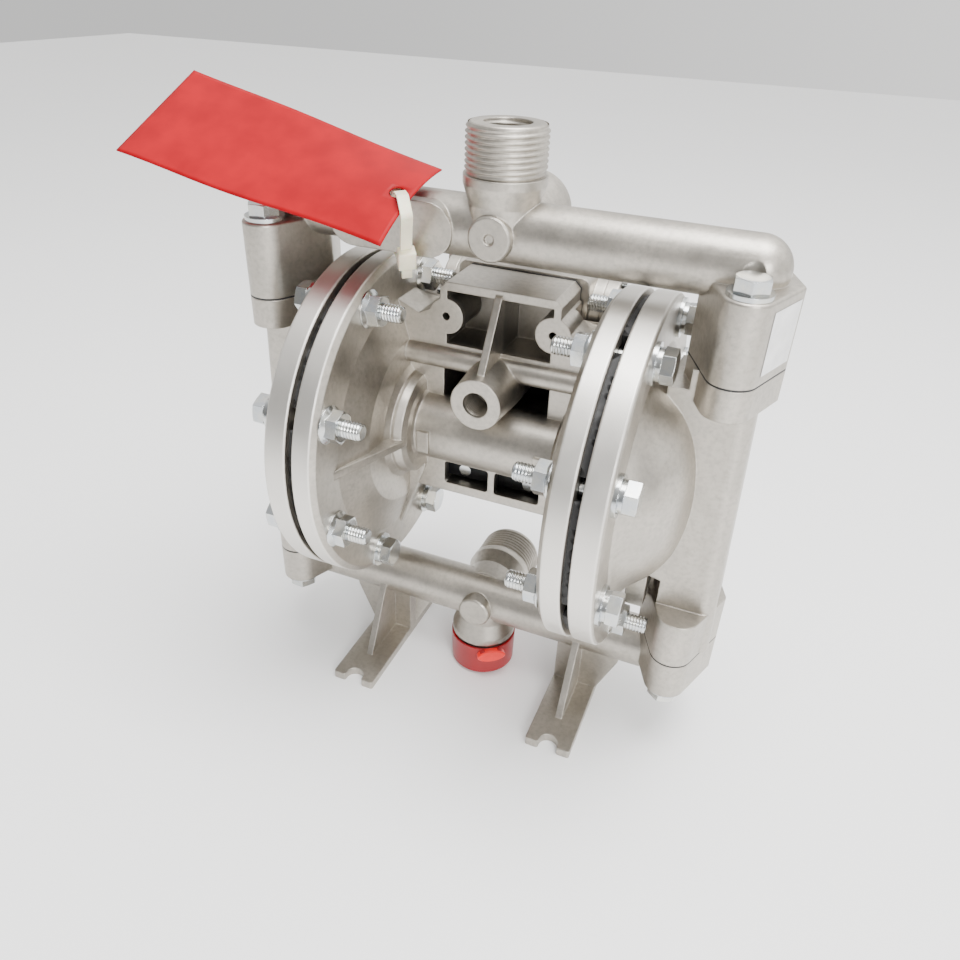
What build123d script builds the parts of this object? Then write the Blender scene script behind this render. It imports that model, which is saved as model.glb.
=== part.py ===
from build123d import *
from math import cos, radians, sin
import os

os.makedirs("parts", exist_ok=True)

# Air operated diaphragm pump, bolted cast metal, 1/2 inch size.
# X runs along the shaft, +Y to the air valve at the back, +Z up.
# The origin is on the floor under the middle of the pump.
# Heights are worked out from the height of the shaft above the floor.

# Clamped flanges of the two diaphragm chambers
shaft_height = 142.5
flange_radius = 80.3
flange_thickness = 10.6
diaphragm_thickness = 3.2
clamp_middle = 61.7
inner_face = clamp_middle - diaphragm_thickness / 2
outer_face = clamp_middle + diaphragm_thickness / 2
inner_back = inner_face - flange_thickness
outer_back = outer_face + flange_thickness
clamp_bore = flange_radius - 20.3

# 5/16 inch fasteners, and the play of a screw in its thread
screw_fit = 0.05
bolt_circle = flange_radius - 10.3
bolt_count = 8
first_bolt_angle = 22.5
chamber_bolt_length = 44.45
manifold_bolt_length = 41.3
thread_radius = 3.5
nut_bore = 3.55
clearance_hole = 4.3
hex_flats = 12.7
head_height = 5.4
head_chamfer = 1.8
blind_hole_top = 11.5
blind_hole_bottom = 20.5
flat_washer_radius = 8.7
flat_washer_thickness = 1.8
lock_washer_radius = 6.8
lock_washer_thickness = 1.9
washer_bore = 4.2
spot_face_radius = 9.3
nut_flange_radius = 8.5
nut_flange_thickness = 1.8
nut_height = 7.0
nut_room = 20.0

# Legs and ducts at the ends of the manifolds
leg_x = 102.5
lug_x = 103.0
lug_y = 20.7
lug_radius = 10.0
leg_outer_x = 121.4
leg_inner_x = 83.0
leg_corner_radius = 3.0
duct_radius = 9.3
cage_radius = 12.2
cage_wall = 3.0
cage_depth = 35.5
cage_block = 42.0
gasket_thickness = 0.8
chamber_bottom = shaft_height - 81.1
chamber_top = shaft_height + 60.8
bottom_joint = chamber_bottom - gasket_thickness
top_joint = chamber_top + gasket_thickness
lower_shelf = chamber_bottom + 23.6
upper_shelf = chamber_top - 13.3
trunk_half_width = 17.0
trunk_outer_x = 119.0
trunk_upper_x = 115.0
trunk_inner_x = 91.5

# Ball valves
ball_radius = 10.0
ball_lift = 5.0
seat_bore = 8.0
seat_radius = 15.0
seat_height = 5.0
seat_fit = 0.05
ball_above_seat = 6.1
stop_clearance = 0.5
stop_bar_width = 6.0
stop_bar_height = 4.0
o_ring_section = 1.2
o_ring_radius = 13.5
rebate_width = 2.9
rebate_depth = 2.6

# Manifolds
manifold_radius = 12.9
manifold_bore = 9.0
suction_height = bottom_joint - 16.85
discharge_height = top_joint + 36.9
discharge_shelf = discharge_height - 4
lug_underside = suction_height - 2.75
port_reach = 41.8
port_thread_radius = 15.7
port_thread_length = 19.3
port_neck_radius = 17.2
port_waist_radius = 14.6
port_bore = 9.8
port_bore_depth = 18.0
top_boss_radius = 9.3
top_boss_reach = 16.4
top_boss_dimple = 2.4
lower_boss_radius = 8.5
lower_boss_reach = 17.0
boss_chamfer = 0.8
pad_x = -46.0
pad_length = 57.7
pad_height = 22.6
pad_reach = 14.0

# Feet
foot_x = 55.7
foot_half_width = 11.65
foot_reach = 50.9
foot_thickness = 4.45
slot_radius = 4.85
slot_center_y = 48.95
cross_wall = 7.0
gusset_wall = 3.5
gusset_foot = 32.0
gusset_top = 11.5

# Centre casting
tube_radius = 16.5
hub_radius = 26.4
hub_start = 35.0
floor_x = 47.0
dish_x = 43.5
frame_depth = 28.0
frame_wall = 5.0
frame_half_width = 50.0
frame_bottom = shaft_height - 37.5
frame_top = shaft_height + 72.5
frame_neck = 28.4
frame_rim = 4.0
lobe_x = 25.4
lobe_z = frame_top - 16.1
lobe_radius = 8.3
lobe_hole_radius = 1.8
lobe_hole_depth = 14.0
pocket_half_width = 25.0
pocket_bottom = shaft_height + 43.5
pocket_depth = 22.0
window_x = 13.45
window_z = frame_bottom + 11.15
inlet_height = shaft_height + 28.4
inlet_front = -24.5
inlet_radius = 11.8
inlet_boss_radius = 13.5
inlet_bore = 5.9
inlet_bore_depth = 16.0
inlet_passage = 4.5
web_half_width = 1.7
riser_radius = 2.6
riser_y = 25.2
riser_top = inlet_height + 14
pilot_height = shaft_height + 36.5
pilot_tube_radius = 5.2
pilot_radius = 2.4
pilot_bore = 2.45
pilot_length = 100.0

# Shaft, plates and diaphragms
shaft_radius = 8.0
bushing_bore = 8.05
bushing_radius = 11.0
bushing_start = 28.0
bushing_length = 13.5
seal_start = 42.0
seal_length = 4.0
plate_thickness = 4.8
shaft_end = inner_face - plate_thickness
inner_plate_radius = 40.0
outer_plate_radius = 33.0
outer_plate_dome = 7.5
stud_radius = 5.0
stud_hole = 5.2
stud_length = 20.0
diaphragm_radius = flange_radius - 3.3
roll_inner = outer_plate_radius + 2
roll_outer = clamp_bore - 1
roll_height = 6.0

# Air valve
valve_gasket_thickness = 1.5
valve_front = frame_depth + valve_gasket_thickness
valve_axis_y = 49.0
valve_axis_z = shaft_height + 53.5
valve_radius = 17.0
valve_half_length = 37.0
valve_block_half_width = 32.0
cap_thickness = 6.0
sleeve_radius = 11.0
spool_radius = 7.95
spool_waist = 5.0
sleeve_bore = 8.0
spool_half_length = 29.0
valve_bottom = valve_axis_z - 19.8
valve_top = frame_top + 1
valve_screw_x = 24.0
valve_screw_rise = 15.5
valve_screw_radius = 1.95
valve_screw_hole = 2.2
valve_screw_depth = 4.8
valve_screw_seat = 46.0
socket_head_radius = 3.0
socket_head_height = 4.0
cap_screw_circle = 14.0
cap_screw_radius = 1.2
cap_screw_head = 2.3
cap_screw_length = 11.5
exhaust_half_width = 36.0
exhaust_bottom = frame_bottom - 1
exhaust_top = inlet_height + 4.1
exhaust_back = 58.0
exhaust_flange_front = 10.0
exhaust_flange_z = frame_bottom + 10.5
exhaust_screw_x = 17.2
exhaust_screw_z = frame_bottom + 9.5
exhaust_screw_radius = 1.65
exhaust_screw_head = 3.2
muffler_height = shaft_height - 2.5
muffler_radius = 13.0
muffler_length = 24.0

# Small trim
plug_cap_radius = port_thread_radius + 2
plug_cap_depth = 18.65
plug_cap_floor = 1.3
plug_cap_bottom = suction_height - port_reach - plug_cap_floor
plug_cap_rim = plug_cap_bottom + plug_cap_depth
tab_turn = 35
tag_length = 133.0
tag_width = 55.5
tag_thickness = 0.6
tag_hole_inset = 7.0
tag_hole_radius = 3.3
tie_width = 4.8
tie_thickness = 1.3

shaft_axis = Axis((0, 0, shaft_height), (1, 0, 0))


def across(x):
    """Plane square to the shaft at x, centred on the shaft."""
    return Plane(origin=(x, 0, shaft_height), x_dir=(0, 1, 0), z_dir=(1, 0, 0))


def place_x(x, angle, direction, turn=0):
    """Place on the bolt circle, pointing along the shaft."""
    y = bolt_circle * sin(radians(angle))
    z = shaft_height + bolt_circle * cos(radians(angle))
    seat_plane = Plane(origin=(x, y, z), x_dir=(0, 1, 0), z_dir=(direction, 0, 0))
    return seat_plane.location * Rotation(0, 0, turn)


def place_z(x, y, z, direction, turn=0):
    """Upright place, pointing up or down."""
    seat_plane = Plane(origin=(x, y, z), x_dir=(1, 0, 0), z_dir=(0, 0, direction))
    return seat_plane.location * Rotation(0, 0, turn)


def hex_bolt(length):
    """Underside of the head at z = 0, shank along +z."""
    with BuildPart() as bolt:
        with BuildSketch(Plane.XY.offset(-head_height)):
            RegularPolygon(hex_flats / 2, 6, major_radius=False)
        extrude(amount=head_height)
        with BuildSketch(Plane.XZ):
            with BuildLine():
                Polyline((0, 0), (hex_flats, 0), (hex_flats, head_chamfer - head_height),
                         (hex_flats / 2 - 0.4, -head_height), (0, -head_height), close=True)
            make_face()
        revolve(axis=Axis.Z, mode=Mode.INTERSECT)
        Cylinder(thread_radius, length, align=(Align.CENTER, Align.CENTER, Align.MIN))
        chamfer(bolt.faces().sort_by(Axis.Z)[-1].edges(), 0.7)
    return bolt.part


def flange_nut():
    """Seat at z = 0, hexagon along +z."""
    with BuildPart() as nut:
        with BuildSketch():
            RegularPolygon(hex_flats / 2, 6, major_radius=False)
        extrude(amount=nut_height)
        with BuildSketch(Plane.XZ):
            with BuildLine():
                Polyline((0, 0), (hex_flats, 0), (hex_flats, nut_height - 1.6),
                         (hex_flats / 2 - 0.3, nut_height), (0, nut_height), close=True)
            make_face()
        revolve(axis=Axis.Z, mode=Mode.INTERSECT)
        with BuildSketch(Plane.XZ):
            with BuildLine():
                Polyline((0, 0), (nut_flange_radius, 0), (nut_flange_radius, 0.7),
                         (hex_flats / 2, nut_flange_thickness + 0.4), (0, nut_flange_thickness + 0.4),
                         close=True)
            make_face()
        revolve(axis=Axis.Z)
        Hole(nut_bore)
    return nut.part


def ring(outer, inner, height):
    """Plain washer standing on z = 0."""
    with BuildPart() as washer:
        with BuildSketch():
            Circle(outer)
            Circle(inner, mode=Mode.SUBTRACT)
        extrude(amount=height)
    return washer.part


def leg_plan(height):
    """Outline of a leg on the right: two bolt lugs, an outer and an inner corner."""
    with BuildSketch(Plane.XY.offset(height)) as plan:
        with Locations((lug_x, lug_y), (lug_x, -lug_y)):
            Circle(lug_radius)
        with Locations((leg_outer_x - leg_corner_radius, 0), (leg_inner_x + leg_corner_radius, 0)):
            Circle(leg_corner_radius)
        make_hull()
    return plan.sketch


def port():
    """Port on a manifold: waist, neck and pipe thread blank, along +z."""
    start = port_reach - port_thread_length
    with BuildPart() as stub:
        with BuildSketch(Plane.XZ):
            with BuildLine():
                Polyline((0, 0), (port_waist_radius, 0), (port_waist_radius, 11),
                         (port_neck_radius, start - 3.5), (port_neck_radius, start),
                         (port_thread_radius, start), (port_thread_radius, port_reach - 1),
                         (port_thread_radius - 1, port_reach), (0, port_reach), close=True)
            make_face()
        revolve(axis=Axis.Z)
    return stub.part


# ---------------------------------------------------------------- centre casting

def frame_casting():
    """Frame between the chambers: carries the air inlet, pilot rod and air valve."""
    with BuildPart() as frame:
        with BuildSketch(Plane.XZ):
            with BuildLine():
                Polyline((0, frame_bottom), (frame_half_width, frame_bottom),
                         (frame_half_width, frame_top - 11.8), (39.1, frame_top - 16.7),
                         (33.5, frame_top - 14), (frame_neck, frame_top - 11),
                         (frame_neck, frame_top - 3), (frame_neck - 3, frame_top), (0, frame_top),
                         close=True)
            make_face()
            with Locations((lobe_x, lobe_z)):
                Circle(lobe_radius)
            mirror(about=Plane.YZ)
        extrude(amount=-frame_depth)
        # Upper pocket round the two screw lobes
        with BuildSketch(Plane.XZ):
            with Locations((0, (pocket_bottom + frame_top - frame_rim) / 2)):
                Rectangle(2 * pocket_half_width, frame_top - frame_rim - pocket_bottom)
            with Locations((lobe_x, lobe_z), (-lobe_x, lobe_z)):
                Circle(lobe_radius, mode=Mode.SUBTRACT)
        extrude(amount=-pocket_depth, mode=Mode.SUBTRACT)
        # Openings beside the air inlet, right through
        with BuildSketch(Plane.XZ):
            with Locations((0, inlet_height - 4.9)):
                Rectangle(52, 16)
        extrude(amount=-frame_depth, mode=Mode.SUBTRACT)
        # Two windows over the exhaust
        with BuildSketch(Plane.XZ):
            with Locations((window_x, window_z), (-window_x, window_z)):
                RectangleRounded(23.5, 12.3, 1.5)
        extrude(amount=-frame_wall, mode=Mode.SUBTRACT)
        # Hollow back of the casting
        with BuildSketch(Plane.XZ.offset(-frame_wall)):
            with Locations((0, window_z)):
                Rectangle(80, 16)
            with Locations((39, shaft_height + 17.5), (-39, shaft_height + 17.5)):
                Rectangle(18, 68)
        extrude(amount=-frame_depth, mode=Mode.SUBTRACT)
        with BuildSketch(Plane.XZ.offset(-tube_radius - 1)):
            with Locations((0, shaft_height - 2.5)):
                Rectangle(52, 52)
        extrude(amount=-frame_depth, mode=Mode.SUBTRACT)
    return frame.part


def dish_rib(angle):
    """Triangular rib between the hub ring and the chamber back."""
    with BuildPart() as rib:
        with BuildSketch(Plane.XZ):
            with BuildLine():
                Polyline((36, 22), (36, 25), (49.8, clamp_bore - 2), (52, clamp_bore - 2),
                         (46, 40), (46, 22), close=True)
            make_face()
        extrude(amount=2, both=True)
    return Rotation(angle, 0, 0) * rib.part


with BuildPart() as center_body:
    with BuildSketch(Plane.XZ.shift_origin((0, 0, shaft_height))):
        with BuildLine():
            Polyline((0, 0), (0, tube_radius), (hub_start - 1, tube_radius), (hub_start, tube_radius + 1.5),
                     (hub_start, hub_radius - 4), (hub_start + 1.6, hub_radius - 1.2),
                     (hub_start + 5, hub_radius), (dish_x - 2, hub_radius), (dish_x, hub_radius + 3),
                     (dish_x + 0.5, clamp_bore - 18), (inner_back, clamp_bore),
                     (inner_back, flange_radius - 2.8),
                     (inner_back + 2.4, flange_radius), (inner_face - 0.6, flange_radius),
                     (inner_face, flange_radius - 0.6), (inner_face, 0), close=True)
        make_face()
    revolve(axis=shaft_axis)
    for rib_angle in (90, 180, -90):
        add(Pos(0, 0, shaft_height) * dish_rib(rib_angle))
    with Locations((29, -tube_radius + 0.5, shaft_height - 1)):
        Box(6, 4, 11)
    mirror(about=Plane.YZ)
    add(frame_casting())
    # Cross tube of the pilot rod
    with Locations(Location((0, 0, pilot_height), (0, 90, 0))):
        Cylinder(pilot_tube_radius, 2 * dish_x + 4)
    # Air inlet boss with its web
    with BuildSketch(Plane.XZ.shift_origin((0, 0, inlet_height)).offset(-inlet_front)):
        Circle(inlet_radius)
    extrude(amount=inlet_front, taper=-4)
    with BuildSketch(Plane.XZ.shift_origin((0, 0, inlet_height))):
        Circle(inlet_boss_radius)
    extrude(amount=-frame_depth)
    with BuildSketch(Plane.YZ):
        with BuildLine():
            Polyline((-20.2, inlet_height), (-20.2, inlet_height + 10.7), (-1.3, frame_top - 2.8),
                     (0, frame_top - 2), (pocket_depth, frame_top - 2), (pocket_depth, inlet_height),
                     close=True)
        make_face()
    extrude(amount=web_half_width, both=True)
    # Air chambers behind the diaphragms
    for side in (1, -1):
        with BuildSketch(Plane.XZ.shift_origin((0, 0, shaft_height))):
            with BuildLine():
                Polyline((side * floor_x, 0), (side * floor_x, clamp_bore - 18),
                         (side * 54.5, clamp_bore - 1),
                         (side * inner_face, clamp_bore + 1), (side * (inner_face + 1), clamp_bore + 1),
                         (side * (inner_face + 1), 0), close=True)
            make_face()
        revolve(axis=shaft_axis, mode=Mode.SUBTRACT)
    # Shaft bore with bushing and seal housings
    with Locations(Location((0, 0, shaft_height), (0, 90, 0))):
        Cylinder(shaft_radius + 1.5, 2 * floor_x + 4, mode=Mode.SUBTRACT)
    for side in (1, -1):
        with BuildSketch(across(side * bushing_start)):
            Circle(bushing_radius)
        extrude(amount=side * (floor_x - bushing_start + 1), mode=Mode.SUBTRACT)
    with Locations(Location((0, 0, pilot_height), (0, 90, 0))):
        Cylinder(pilot_bore, 2 * floor_x + 8, mode=Mode.SUBTRACT)
    # Inlet bore, and the passage that rises to the valve inside the back wall
    with BuildSketch(Plane.XZ.shift_origin((0, 0, inlet_height)).offset(-inlet_front)):
        Circle(inlet_bore)
    extrude(amount=-inlet_bore_depth, mode=Mode.SUBTRACT)
    with BuildSketch(Plane.XZ.shift_origin((0, 0, inlet_height)).offset(-inlet_front)):
        Circle(inlet_passage)
    extrude(amount=-(riser_y - inlet_front), mode=Mode.SUBTRACT)
    with Locations((0, riser_y, inlet_height)):
        Cylinder(riser_radius, riser_top - inlet_height,
                 align=(Align.CENTER, Align.CENTER, Align.MIN), mode=Mode.SUBTRACT)
    with BuildSketch(Plane.XZ.shift_origin((0, 0, riser_top)).offset(-frame_depth)):
        Circle(riser_radius)
    extrude(amount=frame_depth - riser_y, mode=Mode.SUBTRACT)
    # Screw holes: two in the lobes at the front, four for the valve at the back
    with BuildSketch(Plane.XZ):
        with Locations((lobe_x, lobe_z), (-lobe_x, lobe_z)):
            Circle(lobe_hole_radius)
    extrude(amount=-lobe_hole_depth, mode=Mode.SUBTRACT)
    with BuildSketch(Plane.XZ.shift_origin((0, 0, valve_axis_z)).offset(-frame_depth)):
        with GridLocations(2 * valve_screw_x, 2 * valve_screw_rise, 2, 2):
            Circle(valve_screw_radius + screw_fit)
    extrude(amount=valve_screw_depth + 0.2, mode=Mode.SUBTRACT)
    # Bolt holes of both flanges, and room for the nuts behind the frame
    for side in (1, -1):
        with BuildSketch(across(side * inner_face)):
            with PolarLocations(bolt_circle, bolt_count, first_bolt_angle):
                Circle(clearance_hole)
        extrude(amount=-side * flange_thickness, mode=Mode.SUBTRACT)
        with BuildSketch(across(side * inner_back)):
            with PolarLocations(bolt_circle, bolt_count, first_bolt_angle):
                Circle(nut_flange_radius + 1)
        extrude(amount=-side * nut_room, mode=Mode.SUBTRACT)
center_body.part.label = "center_body"
export_step(center_body.part, "parts/center_body.step")

# ---------------------------------------------------------------- outer chambers


def trunk():
    """Upright duct block on the outside of the dome."""
    with BuildPart() as block:
        with BuildSketch(Plane.XZ):
            with BuildLine():
                Polyline((80, upper_shelf - 2), (79.6, upper_shelf + 4.5), (88, upper_shelf + 4.5),
                         (88, chamber_top), (trunk_upper_x, chamber_top),
                         (trunk_upper_x, upper_shelf), (trunk_outer_x, chamber_bottom),
                         (trunk_inner_x, chamber_bottom), (trunk_inner_x, lower_shelf + 13),
                         (78, lower_shelf + 16), close=True)
            make_face()
        extrude(amount=trunk_half_width, both=True)
        outer_edges = block.edges().filter_by(lambda e: e.center().X > trunk_upper_x - 0.5)
        side_edges = outer_edges.filter_by(lambda e: abs(e.center().Y) > trunk_half_width / 2)
        fillet(side_edges.filter_by(lambda e: e.length > 20), 7)
    return block.part


with BuildPart() as outer_chamber_right:
    with BuildSketch(Plane.XZ.shift_origin((0, 0, shaft_height))):
        with BuildLine():
            Polyline((91, 0), (outer_face, 0), (outer_face, flange_radius - 0.6),
                     (outer_face + 0.6, flange_radius), (outer_back - 1.2, flange_radius),
                     (outer_back, flange_radius - 1.2), (outer_back, clamp_bore - 0.5),
                     (outer_back + 1.2, clamp_bore - 2.5))
            Spline((outer_back + 1.2, clamp_bore - 2.5), (81, 50), (85.6, 46), (90.6, 39.7), (94.1, 33),
                   (97.8, 20), (98.8, 0), tangents=((0.45, -1), (0, -1)))
            Line((98.8, 0), (91, 0))
        make_face()
    revolve(axis=shaft_axis)
    add(trunk())
    # Lug under the dome
    with Locations((81, 0, lower_shelf + 7)):
        Box(9, 2 * trunk_half_width, 24)
    # Flanges of the two duct ends, and the wall of the lower ball cage
    extrude(leg_plan(chamber_bottom), amount=lower_shelf - chamber_bottom)
    extrude(leg_plan(upper_shelf), amount=chamber_top - upper_shelf)
    with Locations((leg_x, 0, chamber_bottom)):
        Cylinder(cage_radius + cage_wall, cage_block, align=(Align.CENTER, Align.CENTER, Align.MIN))
    # Liquid space of the dome
    with BuildSketch(Plane.XZ.shift_origin((0, 0, shaft_height))):
        with BuildLine():
            Polyline((outer_face - 1, 0), (outer_face - 1, clamp_bore), (outer_face, clamp_bore),
                     (71.5, clamp_bore - 5.5), (79.5, 45.5), (88, 34.5), (92.5, 20), (94, 0),
                     close=True)
        make_face()
    revolve(axis=shaft_axis, mode=Mode.SUBTRACT)
    # Duct with the ball cage at its foot
    with Locations((leg_x, 0, chamber_bottom)):
        Cylinder(duct_radius, chamber_top - chamber_bottom,
                 align=(Align.CENTER, Align.CENTER, Align.MIN), mode=Mode.SUBTRACT)
        Cylinder(cage_radius, cage_depth, align=(Align.CENTER, Align.CENTER, Align.MIN),
                 mode=Mode.SUBTRACT)
        Cylinder(seat_radius + seat_fit, seat_height, align=(Align.CENTER, Align.CENTER, Align.MIN),
                 mode=Mode.SUBTRACT)
    with Locations((leg_x, 0, chamber_top - seat_height)):
        Cylinder(seat_radius + seat_fit, seat_height, align=(Align.CENTER, Align.CENTER, Align.MIN),
                 mode=Mode.SUBTRACT)
    with Locations(Location((leg_x, 0, shaft_height), (0, -90, 0))):
        Cylinder(duct_radius, 16, align=(Align.CENTER, Align.CENTER, Align.MIN), mode=Mode.SUBTRACT)
    # Bar that stops the lower ball
    suction_ball_height = chamber_bottom + seat_height + ball_above_seat
    with Locations((leg_x, 0, suction_ball_height + ball_lift + ball_radius + stop_clearance)):
        Box(stop_bar_width, 2 * cage_radius + 2, stop_bar_height,
            align=(Align.CENTER, Align.CENTER, Align.MIN))
    # Blind threaded holes for the manifold bolts, and the flange bolt holes
    with BuildSketch(Plane.XY.offset(chamber_top)):
        with Locations((lug_x, lug_y), (lug_x, -lug_y)):
            Circle(nut_bore)
    extrude(amount=-blind_hole_top, mode=Mode.SUBTRACT)
    with BuildSketch(Plane.XY.offset(chamber_bottom)):
        with Locations((lug_x, lug_y), (lug_x, -lug_y)):
            Circle(nut_bore)
    extrude(amount=blind_hole_bottom, mode=Mode.SUBTRACT)
    with BuildSketch(across(outer_face)):
        with PolarLocations(bolt_circle, bolt_count, first_bolt_angle):
            Circle(clearance_hole)
    extrude(amount=flange_thickness, mode=Mode.SUBTRACT)
outer_chamber_right.part.label = "outer_chamber_right"
export_step(outer_chamber_right.part, "parts/outer_chamber_right.step")

with BuildPart() as outer_chamber_left:
    mirror(outer_chamber_right.part, about=Plane.YZ)
outer_chamber_left.part.label = "outer_chamber_left"
export_step(outer_chamber_left.part, "parts/outer_chamber_left.step")

# ---------------------------------------------------------------- manifolds


def discharge_end():
    """Right end of the upper manifold: elbow and bolted flange."""
    with BuildPart() as elbow:
        extrude(leg_plan(top_joint), amount=discharge_shelf - top_joint)
        fillet(elbow.faces().sort_by(Axis.Z)[-1].edges(), 1.2)
        with Locations((leg_x, 0, discharge_height)):
            Sphere(manifold_radius)
    return elbow.part


with BuildPart() as discharge_manifold:
    with Locations(Location((0, 0, discharge_height), (0, 90, 0))):
        Cylinder(manifold_radius, 2 * leg_x)
    add(discharge_end())
    mirror(discharge_end(), about=Plane.YZ)
    # Port with a male thread up, closed bosses to the front and the back
    add(Location((0, 0, discharge_height)) * port())
    with BuildSketch(Plane.XZ.shift_origin((0, 0, discharge_height))):
        Circle(top_boss_radius)
    extrude(amount=top_boss_reach)
    boss_face = discharge_manifold.faces().filter_by(Axis.Y).sort_by(Axis.Y)[0]
    chamfer(boss_face.edges(), boss_chamfer)
    with BuildSketch(Plane.XZ.shift_origin((0, 0, discharge_height)).offset(top_boss_reach)):
        Circle(top_boss_dimple)
    extrude(amount=-top_boss_dimple / 2, taper=30, mode=Mode.SUBTRACT)
    with BuildSketch(Plane.YZ):
        with BuildLine():
            Polyline((0, discharge_height), (0, discharge_height + port_waist_radius),
                     (14, discharge_height + port_waist_radius), (34, discharge_height + port_neck_radius),
                     (port_reach - 1, discharge_height + port_neck_radius),
                     (port_reach, discharge_height + port_neck_radius - 1), (port_reach, discharge_height),
                     close=True)
        make_face()
    revolve(axis=Axis((0, 0, discharge_height), (0, 1, 0)))
    # Raised name pad, left bare
    with BuildSketch(Plane.XZ):
        with Locations((pad_x, discharge_height - 0.5)):
            SlotOverall(pad_length, pad_height)
    extrude(amount=pad_reach)
    # Bores
    with Locations(Location((0, 0, discharge_height), (0, 90, 0))):
        Cylinder(manifold_bore, 2 * leg_x, mode=Mode.SUBTRACT)
    with Locations((0, 0, discharge_height)):
        Cylinder(manifold_bore, port_reach, align=(Align.CENTER, Align.CENTER, Align.MIN),
                 mode=Mode.SUBTRACT)
    with Locations((0, 0, discharge_height + port_reach - port_bore_depth)):
        Cylinder(port_bore, port_bore_depth, align=(Align.CENTER, Align.CENTER, Align.MIN),
                 mode=Mode.SUBTRACT)
    with Locations((leg_x, 0, top_joint), (-leg_x, 0, top_joint)):
        Cylinder(cage_radius, discharge_height - top_joint - 7.4,
                 align=(Align.CENTER, Align.CENTER, Align.MIN), mode=Mode.SUBTRACT)
    with Locations((leg_x, 0, discharge_height), (-leg_x, 0, discharge_height)):
        Cylinder(manifold_bore, 14, align=(Align.CENTER, Align.CENTER, Align.MAX),
                 mode=Mode.SUBTRACT)
        Sphere(manifold_bore, mode=Mode.SUBTRACT)
    discharge_ball_height = chamber_top + ball_above_seat
    stop_height = discharge_ball_height + ball_lift + ball_radius + stop_clearance
    with Locations((leg_x, 0, stop_height), (-leg_x, 0, stop_height)):
        Box(stop_bar_width, 2 * cage_radius + 2, stop_bar_height,
            align=(Align.CENTER, Align.CENTER, Align.MIN))
    with BuildSketch(Plane.XY.offset(top_joint)):
        with GridLocations(2 * lug_x, 2 * lug_y, 2, 2):
            Circle(clearance_hole)
    extrude(amount=60, mode=Mode.SUBTRACT)
    with BuildSketch(Plane.XY.offset(discharge_shelf)):
        with GridLocations(2 * lug_x, 2 * lug_y, 2, 2):
            Circle(spot_face_radius)
    extrude(amount=20, mode=Mode.SUBTRACT)
discharge_manifold.part.label = "discharge_manifold"
export_step(discharge_manifold.part, "parts/discharge_manifold.step")


def foot():
    """Foot on the right: slotted plate, cross wall and two gussets."""
    with BuildPart() as stand:
        with BuildSketch():
            with Locations((foot_x, 0)):
                Rectangle(2 * foot_half_width, 2 * foot_reach)
            with Locations((foot_x, slot_center_y), (foot_x, -slot_center_y)):
                Circle(slot_radius, mode=Mode.SUBTRACT)
            with Locations((foot_x, foot_reach), (foot_x, -foot_reach)):
                Rectangle(2 * slot_radius, 2 * (foot_reach - slot_center_y), mode=Mode.SUBTRACT)
        extrude(amount=foot_thickness)
        corners = stand.edges().filter_by(Axis.Z)
        fillet(corners.filter_by(lambda e: abs(e.center().Y) > foot_reach - 0.1), 1.2)
        with BuildSketch(Plane.XZ):
            with BuildLine():
                Polyline((foot_x - foot_half_width, 0), (foot_x - foot_half_width, suction_height),
                         (80, suction_height), (77, 27), (foot_x + foot_half_width, foot_thickness),
                         (foot_x + foot_half_width, 0), close=True)
            make_face()
        extrude(amount=cross_wall / 2, both=True)
        with BuildSketch(Plane.YZ.offset(foot_x)):
            with BuildLine():
                Polyline((0, foot_thickness - 1), (gusset_foot, foot_thickness - 1),
                         (gusset_foot, foot_thickness), (gusset_top, suction_height),
                         (0, suction_height), close=True)
            make_face()
            mirror(about=Plane.YZ)
        extrude(amount=gusset_wall / 2, both=True)
    return stand.part


def suction_end():
    """Right end of the lower manifold: elbow, bolted flange and foot."""
    with BuildPart() as elbow:
        with Locations((leg_x, 0, suction_height)):
            Sphere(manifold_radius)
        extrude(leg_plan(lug_underside), amount=bottom_joint - lug_underside)
        add(foot())
    return elbow.part


back_port = Location((0, 0, suction_height), (-90, 0, 0))
lower_port = Location((0, 0, suction_height), (180, 0, 0))
port_bore_start = Location((0, 0, port_reach - port_bore_depth))

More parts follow.
